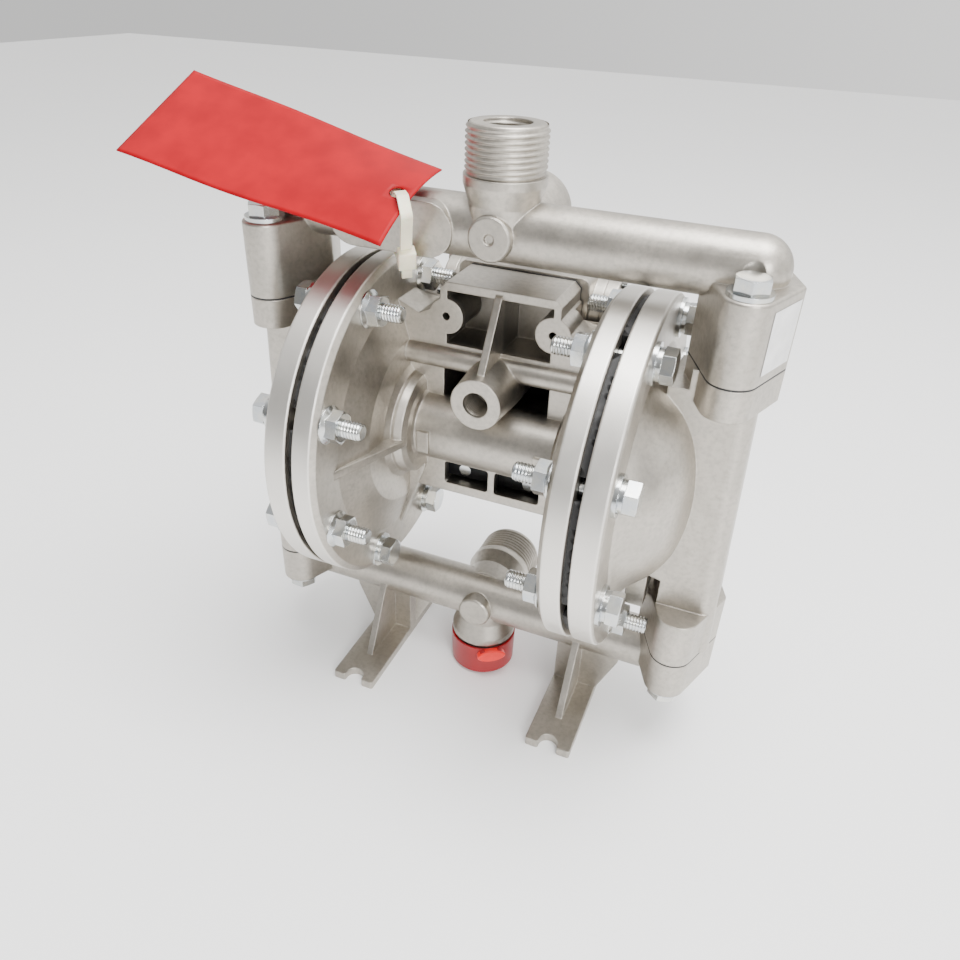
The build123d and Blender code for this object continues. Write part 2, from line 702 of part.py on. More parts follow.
with BuildPart() as suction_manifold:
    add(suction_end())
    mirror(suction_end(), about=Plane.YZ)
    with Locations(Location((0, 0, suction_height), (0, 90, 0))):
        Cylinder(manifold_radius, 2 * leg_x)
    # Male threads down under the plug cap and to the back, closed boss to the front
    add(lower_port * port())
    add(back_port * port())
    with BuildSketch(Plane.XZ.shift_origin((0, 0, suction_height))):
        Circle(lower_boss_radius)
    extrude(amount=lower_boss_reach)
    end_faces = suction_manifold.faces().filter_by(Axis.Y)
    boss_face = end_faces.sort_by_distance((0, -lower_boss_reach, suction_height))[0]
    chamfer(boss_face.edges(), boss_chamfer)
    with Locations(Location((0, 0, suction_height), (0, 90, 0))):
        Cylinder(manifold_bore, 2 * leg_x, mode=Mode.SUBTRACT)
    with Locations(back_port, lower_port):
        Cylinder(manifold_bore, port_reach, align=(Align.CENTER, Align.CENTER, Align.MIN),
                 mode=Mode.SUBTRACT)
    with Locations(back_port * port_bore_start, lower_port * port_bore_start):
        Cylinder(port_bore, port_bore_depth, align=(Align.CENTER, Align.CENTER, Align.MIN),
                 mode=Mode.SUBTRACT)
    with Locations((leg_x, 0, suction_height), (-leg_x, 0, suction_height)):
        Sphere(manifold_bore, mode=Mode.SUBTRACT)
        Cylinder(manifold_bore, 20, align=(Align.CENTER, Align.CENTER, Align.MIN), mode=Mode.SUBTRACT)
    with BuildSketch(Plane.XY.offset(bottom_joint)):
        with GridLocations(2 * lug_x, 2 * lug_y, 2, 2):
            Circle(clearance_hole)
    extrude(amount=-(bottom_joint - lug_underside), mode=Mode.SUBTRACT)
    with BuildSketch(Plane.XY.offset(lug_underside)):
        with GridLocations(2 * lug_x, 2 * lug_y, 2, 2):
            Circle(spot_face_radius)
    extrude(amount=-20, mode=Mode.SUBTRACT)
suction_manifold.part.label = "suction_manifold"
export_step(suction_manifold.part, "parts/suction_manifold.step")

# ---------------------------------------------------------------- diaphragms, plates and shaft

with BuildPart() as diaphragm_right:
    with BuildSketch(Plane.XZ.shift_origin((0, 0, shaft_height))):
        roll_middle = (roll_inner + roll_outer) / 2
        with BuildLine():
            Polyline((inner_face, roll_inner), (inner_face, stud_hole), (outer_face, stud_hole),
                     (outer_face, roll_inner - 1))
            ThreePointArc((outer_face, roll_inner - 1), (outer_face + roll_height, roll_middle),
                          (outer_face, roll_outer))
            Polyline((outer_face, roll_outer), (outer_face, diaphragm_radius),
                     (inner_face, diaphragm_radius), (inner_face, roll_outer))
            ThreePointArc((inner_face, roll_outer), (inner_face + roll_height - 0.6, roll_middle),
                          (inner_face, roll_inner))
        make_face()
    revolve(axis=shaft_axis)
    # Open notches in the rim round the bolts
    with BuildSketch(across(inner_face)):
        with PolarLocations(bolt_circle + 4, bolt_count, first_bolt_angle):
            SlotOverall(19, 2 * clearance_hole + 1)
    extrude(amount=diaphragm_thickness, mode=Mode.SUBTRACT)
diaphragm_right.part.label = "diaphragm_right"
export_step(diaphragm_right.part, "parts/diaphragm_right.step")

with BuildPart() as diaphragm_left:
    mirror(diaphragm_right.part, about=Plane.YZ)
diaphragm_left.part.label = "diaphragm_left"
export_step(diaphragm_left.part, "parts/diaphragm_left.step")

with BuildPart() as inner_plate_right:
    with BuildSketch(Plane.XZ.shift_origin((0, 0, shaft_height))):
        with BuildLine():
            Polyline((inner_face, stud_hole), (shaft_end, stud_hole), (shaft_end, inner_plate_radius - 5),
                     (inner_face - 1.8, inner_plate_radius), (inner_face, inner_plate_radius - 1.8),
                     close=True)
        make_face()
    revolve(axis=shaft_axis)
inner_plate_right.part.label = "inner_plate_right"
export_step(inner_plate_right.part, "parts/inner_plate_right.step")

with BuildPart() as inner_plate_left:
    mirror(inner_plate_right.part, about=Plane.YZ)
inner_plate_left.part.label = "inner_plate_left"
export_step(inner_plate_left.part, "parts/inner_plate_left.step")

with BuildPart() as outer_plate_right:
    with BuildSketch(Plane.XZ.shift_origin((0, 0, shaft_height))):
        with BuildLine():
            Polyline((inner_face - stud_length, 0), (inner_face - stud_length, stud_radius - 1),
                     (inner_face - stud_length + 1, stud_radius), (outer_face, stud_radius),
                     (outer_face, outer_plate_radius - 1), (outer_face + 1.6, outer_plate_radius))
            Spline((outer_face + 1.6, outer_plate_radius), (outer_face + 5, 2 * outer_plate_radius / 3),
                   (outer_face + outer_plate_dome, 0), tangents=((1, -1), (0, -1)))
            Line((outer_face + outer_plate_dome, 0), (inner_face - stud_length, 0))
        make_face()
    revolve(axis=shaft_axis)
outer_plate_right.part.label = "outer_plate_right"
export_step(outer_plate_right.part, "parts/outer_plate_right.step")

with BuildPart() as outer_plate_left:
    mirror(outer_plate_right.part, about=Plane.YZ)
outer_plate_left.part.label = "outer_plate_left"
export_step(outer_plate_left.part, "parts/outer_plate_left.step")

with BuildPart() as diaphragm_shaft:
    with Locations(Location((0, 0, shaft_height), (0, 90, 0))):
        Cylinder(shaft_radius, 2 * shaft_end)
    chamfer(diaphragm_shaft.edges(), 0.5)
    for side in (1, -1):
        with BuildSketch(across(side * shaft_end)):
            Circle(stud_hole)
        extrude(amount=-side * (stud_length - plate_thickness + 1), mode=Mode.SUBTRACT)
diaphragm_shaft.part.label = "diaphragm_shaft"
export_step(diaphragm_shaft.part, "parts/diaphragm_shaft.step")

with BuildPart() as shaft_bushings:
    with BuildSketch(across(bushing_start)):
        Circle(bushing_radius)
        Circle(bushing_bore, mode=Mode.SUBTRACT)
    extrude(amount=bushing_length)
    mirror(about=Plane.YZ)
shaft_bushings.part.label = "shaft_bushings"
export_step(shaft_bushings.part, "parts/shaft_bushings.step")

with BuildPart() as shaft_seals:
    with BuildSketch(across(bushing_start + bushing_length)):
        Circle(bushing_radius)
        Circle(bushing_bore, mode=Mode.SUBTRACT)
    extrude(amount=seal_length)
    mirror(about=Plane.YZ)
shaft_seals.part.label = "shaft_seals"
export_step(shaft_seals.part, "parts/shaft_seals.step")

# ---------------------------------------------------------------- ball valves


def seat(bottom, ring_up):
    """Valve seat ring with a corner rebate for its O-ring."""
    rebate = bottom + seat_height - rebate_depth if ring_up else bottom
    with BuildPart() as seat_ring:
        with Locations((leg_x, 0, bottom)):
            Cylinder(seat_radius, seat_height, align=(Align.CENTER, Align.CENTER, Align.MIN))
            Cylinder(seat_bore, seat_height, align=(Align.CENTER, Align.CENTER, Align.MIN),
                     mode=Mode.SUBTRACT)
        with BuildSketch(Plane.XY.offset(rebate)):
            with Locations((leg_x, 0)):
                Circle(seat_radius + 1)
                Circle(seat_radius - rebate_width, mode=Mode.SUBTRACT)
        extrude(amount=rebate_depth, mode=Mode.SUBTRACT)
    return seat_ring.part


with BuildPart() as suction_seats:
    add(seat(chamber_bottom, False))
    mirror(about=Plane.YZ)
suction_seats.part.label = "suction_seats"
export_step(suction_seats.part, "parts/suction_seats.step")

with BuildPart() as discharge_seats:
    add(seat(chamber_top - seat_height, True))
    mirror(about=Plane.YZ)
discharge_seats.part.label = "discharge_seats"
export_step(discharge_seats.part, "parts/discharge_seats.step")

with BuildPart() as seat_o_rings:
    with Locations((leg_x, 0, chamber_bottom + o_ring_section), (leg_x, 0, chamber_top - o_ring_section)):
        Torus(o_ring_radius, o_ring_section)
    mirror(about=Plane.YZ)
seat_o_rings.part.label = "seat_o_rings"
export_step(seat_o_rings.part, "parts/seat_o_rings.step")

with BuildPart() as manifold_gaskets:
    extrude(leg_plan(bottom_joint), amount=gasket_thickness)
    extrude(leg_plan(chamber_top), amount=gasket_thickness)
    with BuildSketch(Plane.XY.offset(bottom_joint - 1)):
        with Locations((leg_x, 0)):
            Circle(cage_radius)
        with Locations((lug_x, lug_y), (lug_x, -lug_y)):
            Circle(clearance_hole)
    extrude(amount=top_joint - bottom_joint + 2, mode=Mode.SUBTRACT)
    mirror(about=Plane.YZ)
manifold_gaskets.part.label = "manifold_gaskets"
export_step(manifold_gaskets.part, "parts/manifold_gaskets.step")

with BuildPart() as suction_ball_right:
    with Locations((leg_x, 0, suction_ball_height)):
        Sphere(ball_radius)
suction_ball_right.part.label = "suction_ball_right"
export_step(suction_ball_right.part, "parts/suction_ball_right.step")

with BuildPart() as suction_ball_left:
    with Locations((-leg_x, 0, suction_ball_height)):
        Sphere(ball_radius)
suction_ball_left.part.label = "suction_ball_left"
export_step(suction_ball_left.part, "parts/suction_ball_left.step")

with BuildPart() as discharge_ball_right:
    with Locations((leg_x, 0, discharge_ball_height)):
        Sphere(ball_radius)
discharge_ball_right.part.label = "discharge_ball_right"
export_step(discharge_ball_right.part, "parts/discharge_ball_right.step")

with BuildPart() as discharge_ball_left:
    with Locations((-leg_x, 0, discharge_ball_height)):
        Sphere(ball_radius)
discharge_ball_left.part.label = "discharge_ball_left"
export_step(discharge_ball_left.part, "parts/discharge_ball_left.step")

# ---------------------------------------------------------------- fasteners

washer_stack = flat_washer_thickness + lock_washer_thickness
outer_bolt_angles = [first_bolt_angle + 45 * i for i in (0, 1, 2, 5, 6, 7)]
# The two lowest bolts of each side are fitted the other way round
lower_bolt_angles = [first_bolt_angle + 45 * i for i in (3, 4)]
chamber_bolt = hex_bolt(chamber_bolt_length)
nut = flange_nut()
flat_washer = ring(flat_washer_radius, washer_bore, flat_washer_thickness)
lock_washer = ring(lock_washer_radius, washer_bore, lock_washer_thickness)

with BuildPart() as chamber_bolts_right:
    with Locations(*[place_x(outer_back + washer_stack, a, -1, a * 3) for a in outer_bolt_angles]):
        add(chamber_bolt)
    with Locations(*[place_x(inner_back - washer_stack, a, 1, a * 3) for a in lower_bolt_angles]):
        add(chamber_bolt)
chamber_bolts_right.part.label = "chamber_bolts_right"
export_step(chamber_bolts_right.part, "parts/chamber_bolts_right.step")

with BuildPart() as chamber_bolts_left:
    mirror(chamber_bolts_right.part, about=Plane.YZ)
chamber_bolts_left.part.label = "chamber_bolts_left"
export_step(chamber_bolts_left.part, "parts/chamber_bolts_left.step")

with BuildPart() as chamber_nuts_right:
    with Locations(*[place_x(inner_back, a, -1, a * 2) for a in outer_bolt_angles]):
        add(nut)
    with Locations(*[place_x(outer_back, a, 1, a * 2) for a in lower_bolt_angles]):
        add(nut)
chamber_nuts_right.part.label = "chamber_nuts_right"
export_step(chamber_nuts_right.part, "parts/chamber_nuts_right.step")

with BuildPart() as chamber_nuts_left:
    mirror(chamber_nuts_right.part, about=Plane.YZ)
chamber_nuts_left.part.label = "chamber_nuts_left"
export_step(chamber_nuts_left.part, "parts/chamber_nuts_left.step")

with BuildPart() as chamber_flat_washers:
    with Locations(*[place_x(outer_back, a, 1) for a in outer_bolt_angles]):
        add(flat_washer)
    with Locations(*[place_x(inner_back, a, -1) for a in lower_bolt_angles]):
        add(flat_washer)
    mirror(about=Plane.YZ)
chamber_flat_washers.part.label = "chamber_flat_washers"
export_step(chamber_flat_washers.part, "parts/chamber_flat_washers.step")

with BuildPart() as chamber_lock_washers:
    with Locations(*[place_x(outer_back + flat_washer_thickness, a, 1) for a in outer_bolt_angles]):
        add(lock_washer)
    with Locations(*[place_x(inner_back - flat_washer_thickness, a, -1) for a in lower_bolt_angles]):
        add(lock_washer)
    mirror(about=Plane.YZ)
chamber_lock_washers.part.label = "chamber_lock_washers"
export_step(chamber_lock_washers.part, "parts/chamber_lock_washers.step")

lug_points = [(x, y) for x in (-lug_x, lug_x) for y in (-lug_y, lug_y)]

with BuildPart() as discharge_bolts:
    head_seat = discharge_shelf + flat_washer_thickness
    with Locations(*[place_z(x, y, head_seat, -1, x + y) for x, y in lug_points]):
        add(hex_bolt(manifold_bolt_length + 4))
discharge_bolts.part.label = "discharge_bolts"
export_step(discharge_bolts.part, "parts/discharge_bolts.step")

with BuildPart() as discharge_washers:
    with Locations(*[place_z(x, y, discharge_shelf, 1) for x, y in lug_points]):
        add(flat_washer)
discharge_washers.part.label = "discharge_washers"
export_step(discharge_washers.part, "parts/discharge_washers.step")

with BuildPart() as suction_bolts:
    head_seat = lug_underside - flat_washer_thickness
    with Locations(*[place_z(x, y, head_seat, 1, x + y) for x, y in lug_points]):
        add(hex_bolt(manifold_bolt_length))
suction_bolts.part.label = "suction_bolts"
export_step(suction_bolts.part, "parts/suction_bolts.step")

with BuildPart() as suction_washers:
    with Locations(*[place_z(x, y, lug_underside, -1) for x, y in lug_points]):
        add(flat_washer)
suction_washers.part.label = "suction_washers"
export_step(suction_washers.part, "parts/suction_washers.step")

# ---------------------------------------------------------------- air valve

with BuildPart() as valve_gasket:
    with BuildSketch(Plane.XZ.offset(-frame_depth)):
        with BuildLine():
            Polyline((0, valve_bottom), (frame_neck, valve_bottom), (frame_neck, frame_top - 3),
                     (frame_neck - 3, frame_top), (0, frame_top), close=True)
        make_face()
        mirror(about=Plane.YZ)
        with Locations((0, riser_top)):
            Circle(riser_radius, mode=Mode.SUBTRACT)
        with Locations((0, valve_axis_z)):
            with GridLocations(2 * valve_screw_x, 2 * valve_screw_rise, 2, 2):
                Circle(valve_screw_hole, mode=Mode.SUBTRACT)
    extrude(amount=-valve_gasket_thickness)
valve_gasket.part.label = "valve_gasket"
export_step(valve_gasket.part, "parts/valve_gasket.step")


def valve_end(side):
    """Plane on the end of the valve body, centred on the spool."""
    return Plane(origin=(side * valve_half_length, valve_axis_y, valve_axis_z),
                 x_dir=(0, 1, 0), z_dir=(1, 0, 0))


with BuildPart() as valve_body:
    with BuildSketch(Plane.XZ.offset(-valve_front)):
        with Locations((0, (valve_bottom + valve_top) / 2)):
            RectangleRounded(2 * valve_block_half_width, valve_top - valve_bottom, 4)
    extrude(amount=-(valve_axis_y - valve_front))
    with Locations(Location((0, valve_axis_y, valve_axis_z), (0, 90, 0))):
        Cylinder(valve_radius, 2 * valve_half_length)
        Cylinder(sleeve_radius, 2 * valve_half_length, mode=Mode.SUBTRACT)
    with BuildSketch(Plane.XZ.offset(-valve_front)):
        with Locations((0, riser_top)):
            Circle(riser_radius)
    extrude(amount=-(valve_axis_y - valve_front - sleeve_radius / 2), mode=Mode.SUBTRACT)
    # Holes and head seats of the four valve screws, and holes for the cap screws
    with BuildSketch(Plane.XZ.shift_origin((0, 0, valve_axis_z)).offset(-valve_front)):
        with GridLocations(2 * valve_screw_x, 2 * valve_screw_rise, 2, 2):
            Circle(valve_screw_hole)
    extrude(amount=-(valve_screw_seat - valve_front), mode=Mode.SUBTRACT)
    with BuildSketch(Plane.XZ.shift_origin((0, 0, valve_axis_z)).offset(-valve_screw_seat)):
        with GridLocations(2 * valve_screw_x, 2 * valve_screw_rise, 2, 2):
            Circle(socket_head_radius + 0.2)
    extrude(amount=-valve_radius - cap_thickness, mode=Mode.SUBTRACT)
    for side in (1, -1):
        with BuildSketch(valve_end(side)):
            with PolarLocations(cap_screw_circle, 4):
                Circle(cap_screw_radius + screw_fit)
        extrude(amount=-side * cap_thickness, mode=Mode.SUBTRACT)
valve_body.part.label = "valve_body"
export_step(valve_body.part, "parts/valve_body.step")

with BuildPart() as valve_sleeve:
    with BuildSketch(Plane.YZ.offset(-valve_half_length)):
        with Locations((valve_axis_y, valve_axis_z)):
            Circle(sleeve_radius - 0.02)
            Circle(sleeve_bore, mode=Mode.SUBTRACT)
    extrude(amount=2 * valve_half_length)
valve_sleeve.part.label = "valve_sleeve"
export_step(valve_sleeve.part, "parts/valve_sleeve.step")

with BuildPart() as valve_spool:
    with BuildSketch(Plane.XY.offset(valve_axis_z)):
        with BuildLine():
            Polyline((0, valve_axis_y), (0, valve_axis_y + spool_radius), (5, valve_axis_y + spool_radius),
                     (5, valve_axis_y + spool_waist), (17, valve_axis_y + spool_waist),
                     (17, valve_axis_y + spool_radius),
                     (spool_half_length, valve_axis_y + spool_radius), (spool_half_length, valve_axis_y),
                     close=True)
        make_face()
    revolve(axis=Axis((0, valve_axis_y, valve_axis_z), (1, 0, 0)))
    mirror(about=Plane.YZ)
valve_spool.part.label = "valve_spool"
export_step(valve_spool.part, "parts/valve_spool.step")


with BuildPart() as valve_cap_right:
    with BuildSketch(valve_end(1)):
        Circle(valve_radius)
    extrude(amount=cap_thickness)
    fillet(valve_cap_right.faces().sort_by(Axis.X)[-1].edges(), 0.6)
    with BuildSketch(valve_end(1)):
        with PolarLocations(cap_screw_circle, 4):
            Circle(cap_screw_radius + 0.3)
    extrude(amount=cap_thickness, mode=Mode.SUBTRACT)
valve_cap_right.part.label = "valve_cap_right"
export_step(valve_cap_right.part, "parts/valve_cap_right.step")

with BuildPart() as valve_cap_left:
    mirror(valve_cap_right.part, about=Plane.YZ)
valve_cap_left.part.label = "valve_cap_left"
export_step(valve_cap_left.part, "parts/valve_cap_left.step")

with BuildPart() as valve_cap_screws:
    with BuildSketch(valve_end(1).offset(cap_thickness)):
        with PolarLocations(cap_screw_circle, 4):
            Circle(cap_screw_radius)
    extrude(amount=-cap_screw_length)
    with BuildSketch(valve_end(1).offset(cap_thickness)):
        with PolarLocations(cap_screw_circle, 4):
            Circle(cap_screw_head)
    extrude(amount=cap_screw_head)
    mirror(about=Plane.YZ)
valve_cap_screws.part.label = "valve_cap_screws"
export_step(valve_cap_screws.part, "parts/valve_cap_screws.step")

with BuildPart() as valve_screws:
    with BuildSketch(Plane.XZ.shift_origin((0, 0, valve_axis_z)).offset(-valve_screw_seat)):
        with GridLocations(2 * valve_screw_x, 2 * valve_screw_rise, 2, 2):
            Circle(valve_screw_radius)
    extrude(amount=valve_screw_seat - frame_depth + valve_screw_depth)
    with BuildSketch(Plane.XZ.shift_origin((0, 0, valve_axis_z)).offset(-valve_screw_seat)):
        with GridLocations(2 * valve_screw_x, 2 * valve_screw_rise, 2, 2):
            Circle(socket_head_radius)
    extrude(amount=-socket_head_height)
    with BuildSketch(Plane.XZ.shift_origin((0, 0, valve_axis_z)).offset(-valve_screw_seat - 1.5)):
        with GridLocations(2 * valve_screw_x, 2 * valve_screw_rise, 2, 2):
            RegularPolygon(socket_head_radius / 2, 6)
    extrude(amount=-socket_head_height, mode=Mode.SUBTRACT)
valve_screws.part.label = "valve_screws"
export_step(valve_screws.part, "parts/valve_screws.step")

with BuildPart() as exhaust_housing:
    with BuildSketch(Plane.XZ.offset(-frame_depth)):
        with Locations((0, (exhaust_bottom + exhaust_top) / 2)):
            RectangleRounded(2 * exhaust_half_width, exhaust_top - exhaust_bottom, 5)
    extrude(amount=-(exhaust_back - frame_depth))
    fillet(exhaust_housing.faces().sort_by(Axis.Y)[-1].edges(), 3)
    with BuildSketch(Plane.XZ.offset(-exhaust_flange_front)):
        with Locations((0, exhaust_flange_z)):
            RectangleRounded(70, 13, 2)
    extrude(amount=-(frame_depth - exhaust_flange_front))
    with BuildSketch(Plane.XZ.offset(-exhaust_flange_front)):
        with Locations((exhaust_screw_x, exhaust_screw_z), (-exhaust_screw_x, exhaust_screw_z)):
            Circle(exhaust_screw_radius + screw_fit)
    extrude(amount=-11, mode=Mode.SUBTRACT)
exhaust_housing.part.label = "exhaust_housing"
export_step(exhaust_housing.part, "parts/exhaust_housing.step")

with BuildPart() as exhaust_screws:
    with BuildSketch(Plane.XZ.offset(-exhaust_flange_front)):
        with Locations((exhaust_screw_x, exhaust_screw_z), (-exhaust_screw_x, exhaust_screw_z)):
            Circle(exhaust_screw_head)
    extrude(amount=2.3)
    with BuildSketch(Plane.XZ.offset(-exhaust_flange_front)):
        with Locations((exhaust_screw_x, exhaust_screw_z), (-exhaust_screw_x, exhaust_screw_z)):
            Circle(exhaust_screw_radius)
    extrude(amount=-10)
exhaust_screws.part.label = "exhaust_screws"
export_step(exhaust_screws.part, "parts/exhaust_screws.step")

with BuildPart() as muffler:
    with BuildSketch(Plane.XZ.shift_origin((0, 0, muffler_height)).offset(-exhaust_back)):
        Circle(muffler_radius)
    extrude(amount=-muffler_length)
    fillet(muffler.faces().sort_by(Axis.Y)[-1].edges(), 5)
    with BuildSketch(Plane.XZ.shift_origin((0, 0, muffler_height)).offset(-exhaust_back)):
        RegularPolygon(muffler_radius - 0.5, 6, major_radius=False)
    extrude(amount=-6)
muffler.part.label = "muffler"
export_step(muffler.part, "parts/muffler.step")

with BuildPart() as pilot_rod:
    with Locations(Location((0, 0, pilot_height), (0, 90, 0))):
        Cylinder(pilot_radius, pilot_length)
    chamfer(pilot_rod.edges(), 0.4)
pilot_rod.part.label = "pilot_rod"
export_step(pilot_rod.part, "parts/pilot_rod.step")

# ---------------------------------------------------------------- small trim


def cap_tab():
    """Oval pull tab on the rim of the plug cap."""
    out = (sin(radians(tab_turn)), -cos(radians(tab_turn)), 0)
    along = (cos(radians(tab_turn)), sin(radians(tab_turn)), 0)
    with BuildPart() as tab:
        with BuildSketch(Plane(origin=(0, 0, plug_cap_rim - 3.2), x_dir=along, z_dir=out)):
            SlotOverall(14, 6.4)
        extrude(amount=plug_cap_radius + 1.6)
        Cylinder(plug_cap_radius - 0.6, 60, mode=Mode.SUBTRACT)
    return tab.part


with BuildPart() as protective_cap:
    with BuildSketch(Plane.XZ):
        with BuildLine():
            Polyline((0, plug_cap_bottom), (plug_cap_radius - 1.5, plug_cap_bottom),
                     (plug_cap_radius - 0.3, plug_cap_bottom + 1.2),
                     (plug_cap_radius, plug_cap_rim), (plug_cap_radius - 1.2, plug_cap_rim),
                     (plug_cap_radius - 1.7, plug_cap_bottom + plug_cap_floor),
                     (0, plug_cap_bottom + plug_cap_floor), close=True)
        make_face()
    revolve(axis=Axis.Z)
    add(cap_tab())
protective_cap.part.label = "protective_cap"
export_step(protective_cap.part, "parts/protective_cap.step")

tag_plane = Plane(origin=(-97.8, -14.2, discharge_height + 22.5), x_dir=(-0.9828, 0.0433, 0.1664),
                  z_dir=(0.131, -0.441, 0.888))
with BuildPart() as safety_tag:
    with BuildSketch(tag_plane):
        RectangleRounded(tag_length, tag_width, 3)
        with Locations((-tag_length / 2 + tag_hole_inset, 0)):
            Circle(tag_hole_radius, mode=Mode.SUBTRACT)
    extrude(amount=tag_thickness)
safety_tag.part.label = "safety_tag"
export_step(safety_tag.part, "parts/safety_tag.step")

# Loop of the tie: through the tag's hole, over the tag's end, round the manifold and its pad
tie_slope_y = 0.75
tie_slope_z = 0.1
tie_origin = Vector(-39.3, -16.8, discharge_height + 12.6)
tie_plane = Plane(origin=tie_origin, x_dir=(tie_slope_y, -1, 0), z_dir=(1, tie_slope_y, tie_slope_z))


def on_tie_plane(y, rise):
    """Point of the tie plane at this y and this far above the manifold, in the plane's own axes."""
    z = discharge_height + rise
    x = tie_origin.X - (y - tie_origin.Y) * tie_slope_y - (z - tie_origin.Z) * tie_slope_z
    local = tie_plane.to_local_coords(Vector(x, y, z))
    return (local.X, local.Y)


with BuildPart() as cable_tie:
    with BuildSketch(tie_plane):
        with BuildLine():
            FilletPolyline(on_tie_plane(-13.5, 12.2), on_tie_plane(-19, 15.2), on_tie_plane(-25, 15.2),
                           on_tie_plane(-30, 8.5), on_tie_plane(-18.6, -11), on_tie_plane(-13, -15.4),
                           on_tie_plane(9, -15.4), on_tie_plane(15.6, -9), on_tie_plane(15.6, 7),
                           on_tie_plane(8, 14.8), on_tie_plane(-5, 14.8), radius=2.2, close=True)
        make_face()
        offset(amount=-tie_thickness, mode=Mode.SUBTRACT)
    extrude(amount=tie_width / 2, both=True)
cable_tie.part.label = "cable_tie"
export_step(cable_tie.part, "parts/cable_tie.step")
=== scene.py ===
import math

import bmesh
import bpy
from bpy.props import BoolProperty, FloatProperty, FloatVectorProperty, PointerProperty
from mathutils import Matrix, Vector


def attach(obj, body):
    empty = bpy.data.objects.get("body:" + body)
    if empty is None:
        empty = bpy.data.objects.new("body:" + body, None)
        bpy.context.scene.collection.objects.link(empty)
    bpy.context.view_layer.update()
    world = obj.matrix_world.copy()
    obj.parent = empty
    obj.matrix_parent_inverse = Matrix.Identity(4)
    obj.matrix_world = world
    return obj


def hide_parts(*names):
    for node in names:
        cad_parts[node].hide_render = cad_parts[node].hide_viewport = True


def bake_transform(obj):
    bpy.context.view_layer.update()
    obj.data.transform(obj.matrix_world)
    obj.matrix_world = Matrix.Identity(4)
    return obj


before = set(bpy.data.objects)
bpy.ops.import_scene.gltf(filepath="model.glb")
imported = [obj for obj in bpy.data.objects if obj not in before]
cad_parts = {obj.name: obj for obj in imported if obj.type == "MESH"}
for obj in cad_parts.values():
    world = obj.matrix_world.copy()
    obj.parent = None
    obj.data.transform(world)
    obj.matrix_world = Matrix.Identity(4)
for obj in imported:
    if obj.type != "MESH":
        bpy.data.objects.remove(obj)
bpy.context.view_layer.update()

bl_info = {
    "name": "Air Operated Diaphragm Pump",
    "version": (1, 0, 0),
    "blender": (4, 5, 0),
    "location": "View3D > Sidebar > Pump",
    "description": "Dresses the diaphragm pump with its threads, trim and finishes",
    "category": "Object",
}

MM = 0.001
SHAFT_HEIGHT = 0.1425
CASTINGS = (
    "center_body", "outer_chamber_left", "outer_chamber_right", "discharge_manifold",
    "suction_manifold", "valve_body", "valve_cap_left", "valve_cap_right",
)
FASTENERS = (
    "chamber_bolts_left", "chamber_bolts_right", "chamber_nuts_left", "chamber_nuts_right",
    "chamber_flat_washers", "chamber_lock_washers", "discharge_bolts", "discharge_washers",
    "suction_bolts", "suction_washers", "exhaust_screws", "valve_screws", "valve_cap_screws",
)

# Chamber bolts, eight a side; the two lowest point outwards
BOLT_CIRCLE = 0.070
BOLT_COUNT = 8
BOLTS_POINTING_OUT = (3, 4)
BOLT_ROOT = 0.00352
# In mm: faces that the nuts sit on, then how far past them the threads start and how long they are
FLANGE_OUTER_FACE = 73.9
FLANGE_INNER_FACE = 49.5
THREAD_OFFSET = 6.8
THREAD_LENGTH_IN = 9.0
THREAD_LENGTH_OUT = 9.3

# Pipe threads of the two ports, outside and in the bore, and of the air inlet's bore
PORTS = (("discharge", (0, 0, 0.2637), (0, 0, 1)), ("suction", (0, 0.0227, 0.04375), (0, 1, 0)))
PORT_THREAD_LENGTH = 0.0188
PORT_THREAD_ROOT = 0.01572
PORT_BORE_SETBACK = 0.003
PORT_BORE_LENGTH = 0.0155
PORT_BORE_ROOT = 0.00979
PORT_BORE_CREST = 0.0091
PORT_BORE_PITCH = 0.00181
INLET_START = (0, -0.0235, 0.1709)
INLET_AXIS = (0, 1, 0)
INLET_LENGTH = 0.0145
INLET_ROOT = 0.00589
INLET_CREST = 0.0054
INLET_PITCH = 0.00141

# Turned rims of the flanges: radius and distance from the middle, each where it fades in and out
RIM_RADIUS = ((0.0796, 0.0800), (0.0812, 0.0806))
RIM_REACH = ((0.0500, 0.0515), (0.0745, 0.0735))

# Painted shade in the pockets of the centre casting: edge of the width, then depth and height where it
# fades in and out
POCKET_SHADE_EDGE = (0.0262, 0.0255)
POCKET_SHADE_DEPTH = ((0.001, 0.004), (0.0279, 0.0276))
POCKET_SHADE_HEIGHT = ((0.104, 0.107), (0.2135, 0.2115))

# Colours of the finishes that have no setting
ZINC_BLUE = (0.53, 0.56, 0.59)
ZINC_YELLOW = (0.64, 0.64, 0.60)
ZINC_SCUFF = (0.42, 0.42, 0.41)
RUBBER_BLACK = (0.012, 0.012, 0.013)
RUBBER_DUST = (0.045, 0.044, 0.042)
BALL_BLACK = (0.02, 0.02, 0.021)
SHAFT_STEEL = (0.66, 0.66, 0.67)
PLATE_STEEL = (0.62, 0.62, 0.62)
SEAT_STEEL = (0.60, 0.59, 0.58)
BRONZE = (0.55, 0.36, 0.14)
BLACK_PLASTIC = (0.014, 0.014, 0.015)
LABEL_WHITE = (0.80, 0.80, 0.79)
ROOM_WHITE = (1.0, 0.995, 0.985)

# Dish ribs: distance from the middle and radius of three points of the crest and of the root
RIB_ANGLES = (90, 180, 270)
RIB_CREST = ((0.0352, 0.0235), (0.0356, 0.0262), (0.0497, 0.0645))
RIB_ROOT = ((0.0440, 0.0235), (0.0455, 0.0262), (0.0502, 0.0650))
RIB_CREST_HALF = 0.0016
RIB_ROOT_HALF = 0.0027

